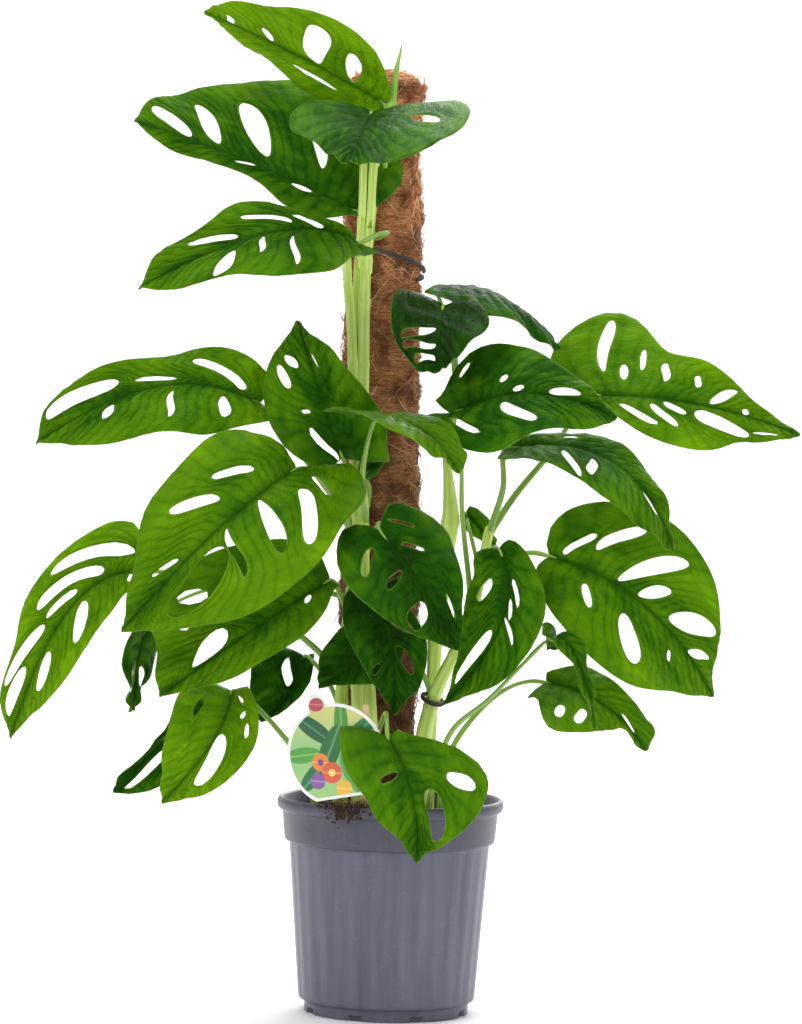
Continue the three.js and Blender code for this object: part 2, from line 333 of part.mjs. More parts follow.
/** The blade as a thin closed shell with its holes through it. */
function blade(leaf, thickness) {
  const rib = midrib(leaf);
  const count = Math.max(leaf.right.length, leaf.left.length, 3);
  const halves = [strips(leaf.right, count), strips(leaf.left, count)];
  const points = [], sheet = [];
  const add = (p) => points.push(p) - 1;
  // Columns run across a half: one on each strip's middle, which splits round a hole, and one between strips.
  const column = (half, i) => {
    if (i === 0) return { open: 0, line: () => 0 };
    if (i === 2 * count) return { open: 0, line: () => 1 };
    const k = (i - 1) >> 1;
    if (i % 2) return { ...half[k], line: (s) => middle(half[k], s) };
    return { open: 0, line: (s) => (middle(half[k], s) + middle(half[k + 1], s)) / 2 };
  };
  const spine = [];
  for (let i = 0; i <= 2 * count; i++) {
    const t = (column(halves[0], i).line(0) + column(halves[1], i).line(0)) / 2;
    spine.push(add(bladePoint(leaf, rib, t, 0, 0)));
  }
  const tip = spine[2 * count];
  halves.forEach((half, side) => {
    let before = null;
    for (let i = 0; i <= 2 * count; i++) {
      const strip = column(half, i);
      const near = [spine[i]], far = [spine[i]];
      for (let row = 1; row <= BLADE.rows; row++) {
        if (i === 2 * count) { near.push(tip); continue; }
        const s = rowPlace(strip, row), t = strip.line(s);
        const u = strip.open ? (2 * s - strip.from - strip.to) / (strip.to - strip.from) : 1;
        const inside = Math.abs(u) < 1 - 1e-6;
        const open = inside ? strip.open * Math.sqrt(1 - u * u) : 0;
        near.push(add(bladePoint(leaf, rib, t - open, s, side)));
        far.push(inside ? add(bladePoint(leaf, rib, t + open, s, side)) : near[row]);
      }
      if (before)
        for (let row = 0; row < BLADE.rows; row++) {
          const [a, b, c, d] = [before[row], before[row + 1], near[row + 1], near[row]];
          for (const f of [[a, b, c], [a, c, d]])
            if (new Set(f).size === 3) sheet.push(side ? [f[0], f[2], f[1]] : f);
        }
      before = far;
    }
  });
  return thicken(points, sheet, thickness);
}

/** An open sheet given a thickness: both faces, and a wall along each free edge. */
function thicken(points, sheet, thickness) {
  const normals = points.map(() => new THREE.Vector3());
  const edges = new Set();
  for (const [a, b, c] of sheet) {
    const n = points[b].clone().sub(points[a]).cross(points[c].clone().sub(points[a]));
    for (const i of [a, b, c]) normals[i].add(n);
    for (const [p, q] of [[a, b], [b, c], [c, a]]) edges.add(p + "," + q);
  }
  const n = points.length;
  const top = points.map((p, i) => p.clone().addScaledVector(normals[i].normalize(), thickness / 2));
  const bottom = points.map((p, i) => p.clone().addScaledVector(normals[i], -thickness / 2));
  const faces = sheet.flatMap(([a, b, c]) => [[a, b, c], [a + n, c + n, b + n]]);
  for (const edge of edges) {
    const [p, q] = edge.split(",").map(Number);
    if (!edges.has(q + "," + p)) faces.push([p, p + n, q + n], [p, q + n, q]);
  }
  return solid([...top, ...bottom], faces);
}

/** A leaf's stalk, which runs on under the midrib for a little way. `extra` grows it all round. */
function stalk(leaf, extra = 0) {
  const rib = midrib(leaf);
  const { point, along } = rib.at(Math.min(0.2, BLADE.stemEnd / rib.long));
  const under = v3(leaf.face).normalize().multiplyScalar(-0.45 * leaf.thick);
  const route = [...leaf.stalk, leaf.base, point.add(under).toArray()];
  const radii = [leaf.thick * 1.15, leaf.thick, leaf.thick * 0.55];
  return tube(route, radii, { steps: 2 * route.length, sides: 6, extra });
}

// ---------------------------------------------------------------- pieces
/** The pot: a fluted shell with a rolled rim, a collar, a foot ring with notches and drain holes. */
function pot() {
  const { rimRadius, height, lip, collar, collarRadius, wallTop, wallBottom, wall, footRadius, footHeight, footDepth, floor, padRadius } = POT;
  const shell = revolve([
    [0, 0], [padRadius, 0], [padRadius, footDepth], [footRadius - 4, footDepth], [footRadius - 3.5, 0],
    [footRadius, 0], [footRadius, footHeight - 1], [wallBottom, footHeight + 1],
    [wallTop, height - lip - collar], [collarRadius, height - lip - collar + 2], [collarRadius + 2, height - lip - 2],
    [rimRadius - 1, height - lip], [rimRadius, height - lip + 2], [rimRadius, height - 3], [rimRadius - 2.5, height],
    [rimRadius - 4.5, height - 1.5], [wallTop + 4.5 - wall, height - lip], [wallTop + 1 - wall, height - lip - collar + 2],
    [wallTop - wall, height - lip - collar - 2], [wallBottom - wall, footDepth + floor + 2], [wallBottom - wall - 3, footDepth + floor], [0, footDepth + floor],
  ], 36);
  const cuts = [];
  for (let i = 0; i < POT.notches; i++)
    cuts.push(Manifold.cube([12, 9, 4], true).translate([footRadius - 2, 0, 2 - 1e-3]).rotate([0, 0, (360 * (i + 0.5)) / POT.notches]));
  for (let i = 0; i < POT.drains; i++)
    cuts.push(Manifold.cylinder(20, 5, 5, 8).translate([38, 0, -5]).rotate([0, 0, (360 * i) / POT.drains]));
  return shell.subtract(Manifold.union(cuts));
}

/** The potting mix: fills the pot to a little under the rim, with a low dome. */
function pottingMix() {
  const { wallTop, wallBottom, wall, footDepth, floor, height, lip, collar } = POT;
  const foot = footDepth + floor + GAP, inner = -wall - GAP;
  const shoulder = height - lip - collar - 2;
  return revolve([
    [0, foot], [wallBottom + inner - 3, foot], [wallBottom + inner, foot + 2], [wallTop + inner, shoulder],
    [wallTop + inner + 1, shoulder + 4], [wallTop + inner + 1.9, SOIL.top - 2], [wallTop - 6, SOIL.top], [40, SOIL.top + SOIL.dome - 1.5], [0, SOIL.top + SOIL.dome],
  ], 28);
}

/** The pole leans a little to the left: turns a solid round the line through the pot's foot from front to back. */
const leaning = (solid) => solid.rotate([0, POLE.lean, 0]);

function poleCore() {
  return leaning(revolve([[0, 18], [POLE.coreRadius, 18], [POLE.coreRadius, POLE.top - 20], [0, POLE.top - 20]], 20, [POLE.x, POLE.y]));
}

/** The coir sleeve: a rough fibre tube with a rounded crown that caps the core. `extra` grows its outside. */
function coirSleeve(extra = 0) {
  const { sleeveRadius, sleeveFoot, top, crown, coreRadius } = POLE;
  const side = sleeveRadius + extra;
  const lumps = [];
  for (let i = 0; i <= 8; i++) {
    const z = sleeveFoot + ((top - crown - sleeveFoot) * i) / 8;
    lumps.push([side - 0.5 - 0.5 * Math.sin(i * 2.3), z]);
  }
  const crownArc = [30, 60, 80].map((a) => [side - crown + crown * Math.cos(radians(a)), top - crown + (crown + extra) * Math.sin(radians(a))]);
  const bore = extra ? 0 : coreRadius + GAP;
  return leaning(revolve([[bore, sleeveFoot], ...lumps, ...crownArc, [0, top + extra],
    ...(extra ? [] : [[0, top - 20 + GAP], [bore, top - 20 + GAP]])], 20, [POLE.x, POLE.y]));
}

/** The ring tie: a circle round the stem, square to its axis. */
function stemTie() {
  const axis = v3(STEM_TIE.axis).normalize();
  const a = new THREE.Vector3(0, 1, 0).cross(axis).normalize(), b = axis.clone().cross(a);
  const loop = [];
  for (let i = 0; i < 8; i++) {
    const turn = (2 * Math.PI * i) / 8;
    loop.push(v3(STEM_TIE.centre).addScaledVector(a, Math.cos(turn) * STEM_TIE.radius).addScaledVector(b, Math.sin(turn) * STEM_TIE.radius).toArray());
  }
  return ring(loop, TIE_WIRE, { steps: 20 });
}

/** The plant label: a flat round card with one ear, turned to face a little left. */
function labelCard() {
  const outline = [];
  for (let i = 0; i < 28; i++) {
    const a = (2 * Math.PI * i) / 28;
    const x = LABEL.half * Math.cos(a);
    outline.push([x, Math.max(-LABEL.foot + LABEL.tilt * Math.max(0, x + 20), LABEL.rise * Math.sin(a))]);
  }
  const card = new wasm.CrossSection([outline]);
  const ear = wasm.CrossSection.circle(LABEL.ear, 12).translate(LABEL.earAt);
  return Manifold.extrude(card.add(ear), LABEL.thick).translate([0, 0, -LABEL.thick / 2])
    .rotate([90, 0, 0]).rotate([0, 0, LABEL.turn]).translate(LABEL.centre);
}

/** The wooden stick behind the card, pushed into the potting mix. */
function labelStick(extra = 0) {
  return Manifold.cube(STICK.size.map((side) => side + 2 * extra), true).rotate([STICK.lean, 0, 0]).translate(STICK.middle);
}

// ------------------------------------------------------------ put together
const stemSolid = (name, extra = 0) => tube(STEMS[name].route, STEMS[name].radii, { steps: 16, extra });
const stemNames = Object.keys(STEMS);
const grownStems = Manifold.union(stemNames.map((name) => stemSolid(name, GAP)));
const grownSleeve = coirSleeve(GAP);
const pieces = new Map();

pieces.set("pot", pot());
pieces.set("pole_core", poleCore());
pieces.set("coir_sleeve", coirSleeve());
for (const name of stemNames) pieces.set(name, stemSolid(name));
pieces.set("new_leaf_spike", biggest(tube(SPIKE.route, SPIKE.radii, { steps: 9 }).subtract(grownStems)));
const grownSpike = tube(SPIKE.route, SPIKE.radii, { steps: 9, extra: GAP });
for (const leaf of LEAVES)
  pieces.set(leaf.name, biggest(blade(leaf, BLADE.thickness).add(stalk(leaf)).subtract(grownStems).subtract(grownSpike)));
pieces.set("tie_pole", biggest(tube(POLE_TIE, POLE_TIE.map(() => TIE_WIRE), { steps: 36 }).subtract(grownSleeve).subtract(grownStems)));
pieces.set("tie_stem", biggest(stemTie().subtract(grownStems)));
pieces.set("label_card", labelCard());
pieces.set("label_stick", labelStick());

// The potting mix is packed round everything that stands in it.
const rooted = [grownStems, leaning(revolve([[0, 17], [POLE.coreRadius + GAP, 17], [POLE.coreRadius + GAP, 200], [0, 200]], 20, [POLE.x, POLE.y])),
  leaning(revolve([[0, POLE.sleeveFoot - GAP], [POLE.sleeveRadius + GAP, POLE.sleeveFoot - GAP], [POLE.sleeveRadius + GAP, 200], [0, 200]], 20, [POLE.x, POLE.y])),
  labelStick(GAP)];
for (const leaf of LEAVES)
  if (leaf.stalk[0][2] < SOIL.top)
    rooted.push(stalk(leaf, 2 * GAP));
pieces.set("potting_mix", biggest(pottingMix().subtract(Manifold.union(rooted))));

// --------------------------------------------------------------- materials
const LOOKS = {
  pot: { color: 0x6c6b79, roughness: 0.45 },
  potting_mix: { color: 0x4a3020, roughness: 1 },
  pole_core: { color: 0x8a6a48, roughness: 0.8 },
  coir_sleeve: { color: 0x9a623c, roughness: 1 },
  stem: { color: 0x9dbb55, roughness: 0.5 },
  leaf: { color: 0x4f9a2a, roughness: 0.4 },
  tie: { color: 0x4a3c34, roughness: 0.9 },
  label_card: { color: 0xcfe3b0, roughness: 0.4 },
  label_stick: { color: 0xdcbf94, roughness: 0.8 },
};
const lookOf = (name) => LOOKS[name] ?? LOOKS[name.split("_")[0]] ?? LOOKS.stem;

/** A named three.js mesh of a solid. */
function mesh(name, made) {
  const { vertProperties, triVerts } = made.getMesh();
  const geometry = new THREE.BufferGeometry()
    .setAttribute("position", new THREE.BufferAttribute(new Float32Array(vertProperties), 3))
    .setIndex(new THREE.BufferAttribute(new Uint32Array(triVerts), 1));
  geometry.computeVertexNormals();
  const made3 = new THREE.Mesh(geometry, new THREE.MeshStandardMaterial(lookOf(name)));
  made3.name = name;
  return made3;
}

const plant = new THREE.Group();
plant.name = "monstera_on_coir_pole";
for (const [name, made] of pieces) plant.add(mesh(name, made));
export default plant;
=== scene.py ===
# %% [markdown]
# A Swiss cheese vine (Monstera adansonii) tied to a coconut-fibre pole in a
# round nursery pot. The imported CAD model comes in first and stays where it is:
# it says where every stem, leaf and wall goes. The pieces made here take the
# places of its plain solids, in the same frame: metres, Z up, X to the right,
# Y to the back, the middle of the pot's underside at the origin.

# %% Load the frame
import math

import bpy
import numpy as np
from mathutils import Matrix, Vector


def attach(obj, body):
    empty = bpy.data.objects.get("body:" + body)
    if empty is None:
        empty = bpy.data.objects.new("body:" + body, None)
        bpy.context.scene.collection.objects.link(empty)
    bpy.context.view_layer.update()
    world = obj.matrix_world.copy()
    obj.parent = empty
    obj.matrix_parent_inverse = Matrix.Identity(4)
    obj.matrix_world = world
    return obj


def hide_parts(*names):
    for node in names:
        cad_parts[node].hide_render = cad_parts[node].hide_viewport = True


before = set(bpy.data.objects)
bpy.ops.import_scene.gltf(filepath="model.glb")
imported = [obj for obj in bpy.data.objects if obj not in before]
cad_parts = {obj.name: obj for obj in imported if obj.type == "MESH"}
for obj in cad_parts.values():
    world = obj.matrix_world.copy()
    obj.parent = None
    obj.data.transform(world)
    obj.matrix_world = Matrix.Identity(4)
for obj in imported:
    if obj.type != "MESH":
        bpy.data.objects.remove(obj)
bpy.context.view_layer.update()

# %% [markdown]
# The plant's sizes below are in millimetres, because a plant is measured that
# way, and they are turned into metres when a mesh is stored. Everything uneven
# (fibres, crumbs, wrinkles) comes from seeded random numbers, so that each run
# of the script grows the same plant.

# %% Units and chance
MM = 0.001  # metres in a millimetre
TURN = 2 * math.pi  # radians in a full turn
UP = (0.0, 0.0, 1.0)
rng = np.random.default_rng(31)


def smooth(low, high, x):
    """0 below low, 1 above high, and the S-shaped 3x^2 - 2x^3 between them."""
    q = np.clip((np.asarray(x, float) - low) / (high - low), 0, 1)
    return q * q * (3 - 2 * q)


def unit(v):
    """Vectors divided by their own length."""
    return v / np.maximum(np.linalg.norm(v, axis=-1, keepdims=True), 1e-9)


def ripple(points, size, seed):
    """Soft unevenness from about -1 to 1: the mean of six sine waves that run
    in different directions, about `size` mm from crest to crest."""
    waves = np.random.default_rng(seed)
    ways = unit(waves.normal(size=(6, 3))) * (TURN / size) * waves.uniform(0.6, 1.6, (6, 1))
    return np.sin(points @ ways.T + waves.uniform(0, TURN, 6)).mean(-1) * 1.6


def around(count):
    """Angles at even steps round a full turn, from 0."""
    return np.linspace(0, TURN, count, endpoint=False)


def stack(*columns):
    """Columns of x, y, z values, spread to one shape and put side by side."""
    return np.stack(np.broadcast_arrays(*columns), -1)


print("halfway up the S-curve:", smooth(0, 1, 0.5))

# %% [markdown]
# Every piece is a bag of parts. A part has points, triangles, the number of its
# material in the piece's list, and the values that the material reads at each
# point. Shapes come as grids of points, so one helper joins a grid's rows with
# triangles, one closes a tube's two ends, and another stores a bag as one
# Blender mesh. foreach_set hands whole arrays over, which is far quicker than
# adding points one by one.

# %% Mesh helpers
def grid_triangles(rows, columns, joined=False):
    """Two triangles for every cell of a rows x columns grid; `joined` links
    the last column to the first."""
    i, j = np.meshgrid(np.arange(rows - 1), np.arange(columns - (not joined)), indexing="ij")
    a, b = (i * columns + j).ravel(), (i * columns + (j + 1) % columns).ravel()
    c, d = b + columns, a + columns
    return np.concatenate([np.stack([a, b, c], 1), np.stack([a, c, d], 1)])


def tube_triangles(rows, columns):
    """A grid joined round, with a fan at each end: the fans' middles are the
    two points that come after the grid's own."""
    j = np.arange(columns)
    k, last, middle = (j + 1) % columns, (rows - 1) * columns, rows * columns
    fans = stack(k, j, middle), stack(last + j, last + k, middle + 1)
    return np.concatenate([grid_triangles(rows, columns, True), *fans])


def copies(triangles, count, each):
    """The same triangles for `count` like shapes of `each` points."""
    return (triangles + (np.arange(count) * each)[:, None, None]).reshape(-1, 3)


def part(points, triangles, material=0, **values):
    """One part of a piece; a value is one number, a number for each point, or
    a row of three for each point."""
    points = np.asarray(points, float).reshape(-1, 3)
    count = len(points)
    values = {name: np.asarray(value, float) for name, value in values.items()}
    spread = {name: np.broadcast_to(v, (count, 3) if v.ndim == 2 else count) for name, v in values.items()}
    return dict(points=points, triangles=triangles, material=material, values=spread)


def store_values(mesh, key, parts):
    """Stores one named value on the mesh, 0 on the parts that don't have it."""
    wide = any(p["values"][key].ndim == 2 for p in parts if key in p["values"])
    blank = [np.zeros((len(p["points"]), 3) if wide else len(p["points"])) for p in parts]
    data = np.concatenate([p["values"].get(key, b) for p, b in zip(parts, blank)])
    store = mesh.attributes.new(key, "FLOAT_VECTOR" if wide else "FLOAT", "POINT")
    store.data.foreach_set("vector" if wide else "value", data.ravel().astype(np.float32))


def piece(name, parts, materials, replaces=()):
    """Joins parts into one mesh object at the origin, smooth shaded, that
    rides on the only body."""
    points = np.concatenate([p["points"] for p in parts])
    starts = np.cumsum([0] + [len(p["points"]) for p in parts])
    faces = np.concatenate([p["triangles"] + s for p, s in zip(parts, starts)])
    finish = np.concatenate([np.full(len(p["triangles"]), p["material"]) for p in parts])
    mesh = bpy.data.meshes.new(name)
    mesh.vertices.add(len(points))
    mesh.vertices.foreach_set("co", (points * MM).ravel())
    mesh.loops.add(faces.size)
    mesh.loops.foreach_set("vertex_index", faces.ravel().astype(np.int32))
    mesh.polygons.add(len(faces))
    mesh.polygons.foreach_set("loop_start", np.arange(0, faces.size, 3, dtype=np.int32))
    mesh.polygons.foreach_set("material_index", finish.astype(np.int32))
    mesh.update(calc_edges=True)
    mesh.shade_smooth()
    for key in sorted({k for p in parts for k in p["values"]}):
        store_values(mesh, key, parts)
    for look in materials:
        mesh.materials.append(look)
    made = bpy.data.objects.new(name, mesh)
    bpy.context.scene.collection.objects.link(made)
    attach(made, "root")
    if replaces:
        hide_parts(*replaces)
    print(f"{name}: {len(points)} points, {len(faces)} triangles")


print("a closed tube of 10 rings of 8 points has", len(tube_triangles(10, 8)), "triangles")

# %% [markdown]
# Stalks, stems, ties and fibres are all a profile carried along a path. The
# path is a smooth curve through a few chosen points (a centripetal Catmull-Rom
# spline, the kind that the CAD model uses, so both follow the same line). The
# profile is turned as little as possible from ring to ring, and starts with its
# groove on a side that is asked for.

# %% Paths and swept profiles
def distances(path):
    """How far along a path each of its points is."""
    return np.concatenate([[0], np.cumsum(np.linalg.norm(np.diff(path, axis=0), axis=1))])


def smooth_path(route, count, closed=False):
    """`count` points at even distances along the centripetal Catmull-Rom
    spline through `route`: each stretch is the cubic whose end slopes come
    from the square roots of the distances round it."""
    p = np.asarray(route, float)
    if closed:
        p = np.concatenate([p[-1:], p, p[:2]])
    else:
        p = np.concatenate([2 * p[:1] - p[1:2], p, 2 * p[-1:] - p[-2:-1]])
    a, b, c, d = p[:-3], p[1:-2], p[2:-1], p[3:]
    root = lambda gap: np.sqrt(np.maximum(np.linalg.norm(gap, axis=1, keepdims=True), 1e-6))
    ab, bc, cd = root(b - a), root(c - b), root(d - c)
    start = ((b - a) / ab - (c - a) / (ab + bc) + (c - b) / bc) * bc
    end = ((c - b) / bc - (d - b) / (bc + cd) + (d - c) / cd) * bc
    q = np.linspace(0, 1, 25)[:-1, None, None]
    fine = b * (2 * q**3 - 3 * q**2 + 1) + c * (3 * q**2 - 2 * q**3)
    fine = fine + start * (q**3 - 2 * q**2 + q) + end * (q**3 - q**2)
    fine = np.concatenate([fine.transpose(1, 0, 2).reshape(-1, 3), p[-2:-1]])
    far = distances(fine)
    at = np.linspace(0, far[-1], count + closed)[:count]
    return np.stack([np.interp(at, far, fine[:, k]) for k in range(3)], 1)


def path_frames(path, top, closed=False):
    """Side and top directions for each path point: the wanted top made square
    to the path, then passed on from point to point with no twist."""
    ahead = unit(np.roll(path, -1, 0) - np.roll(path, 1, 0) if closed else np.gradient(path, axis=0))
    up, ups = np.asarray(top, float), []
    for way in ahead:
        up = up - way * (up @ way)
        up = up / max(np.linalg.norm(up), 1e-6)
        ups.append(up)
    return np.cross(ahead, ups), np.array(ups)


def rings(path, side, up, radius, angle):
    """Points round a path: path + radius (cos angle side + sin angle up)."""
    across, upwards = (radius * np.cos(angle))[..., None], (radius * np.sin(angle))[..., None]
    return path[:, None] + across * side[:, None] + upwards * up[:, None]


def sweep(path, radius, sides, top, groove=0.0, closed=False, material=0):
    """A closed tube: ring i is a circle of radius[i] round path[i]. `groove`
    presses its top side in by that share of the radius, in a Gaussian dip. The
    value `along` is each point's distance along the path, its turn round it as
    a share, and the radius."""
    radius = np.broadcast_to(radius, len(path))
    turn = around(sides)
    from_top = np.angle(np.exp(1j * (turn - TURN / 4)))
    dip = np.multiply.outer(np.broadcast_to(groove, len(path)), np.exp(-((from_top / 0.55) ** 2)))
    points = rings(path, *path_frames(path, top, closed), radius[:, None] * (1 - dip), turn)
    along = stack(distances(path)[:, None], turn / TURN, radius[:, None])
    if closed:
        triangles = grid_triangles(len(path) + 1, sides, True) % (len(path) * sides)
    else:
        triangles = tube_triangles(len(path), sides)
        points = np.concatenate([points.reshape(-1, 3), path[:1], path[-1:]])
        along = np.concatenate([along.reshape(-1, 3), along[0, :1], along[-1, :1]])
    return part(points, triangles[:, ::-1], material, along=along.reshape(-1, 3))


bent = smooth_path([(0, 0, 0), (10, 0, 0), (10, 10, 0)], 20)
print("a smooth path through two sides of a 10 mm square is", round(distances(bent)[-1], 1), "mm long")

# %% [markdown]
# Leaves. On the real plant a leaf is one thin blade on a long stalk: a heart
# that ends in a point, split into two unequal halves by the midrib, with oval
# holes between the side veins. It could be drawn flat and bent with modifiers,
# or cut from a plane with a picture as a mask. Here it is worked out as a
# surface: a point is given by t, its place along the midrib, and s, its place
# along the side vein that starts there. The holes then lie along the veins, as
# they do on the plant, and a bent, folded or drooping leaf keeps its pattern.
#
# The table repeats the CAD model's leaves from the top down. tone runs from 0
# for an old dark leaf to 1 for a young one, and each leaf's value is also set
# for how lit or shaded it should look where it hangs, so it carries painted
# light and shade too; face is the way the upper side looks, base, mid and tip
# are points of the midrib, stalk is the stalk's route and thick its radius,
# and each pair is [right half, left half]. fold, droop and sweep are degrees,
# edge is how long the side veins are from base to tip, and a hole is [place
# along the midrib, start, end, half opening, how far it leans].

# %% The leaves' sizes
def sizes(thick=1.8, **others):
    """One leaf's sizes; most stalks are 3.6 mm across."""
    return dict(thick=thick, **others)


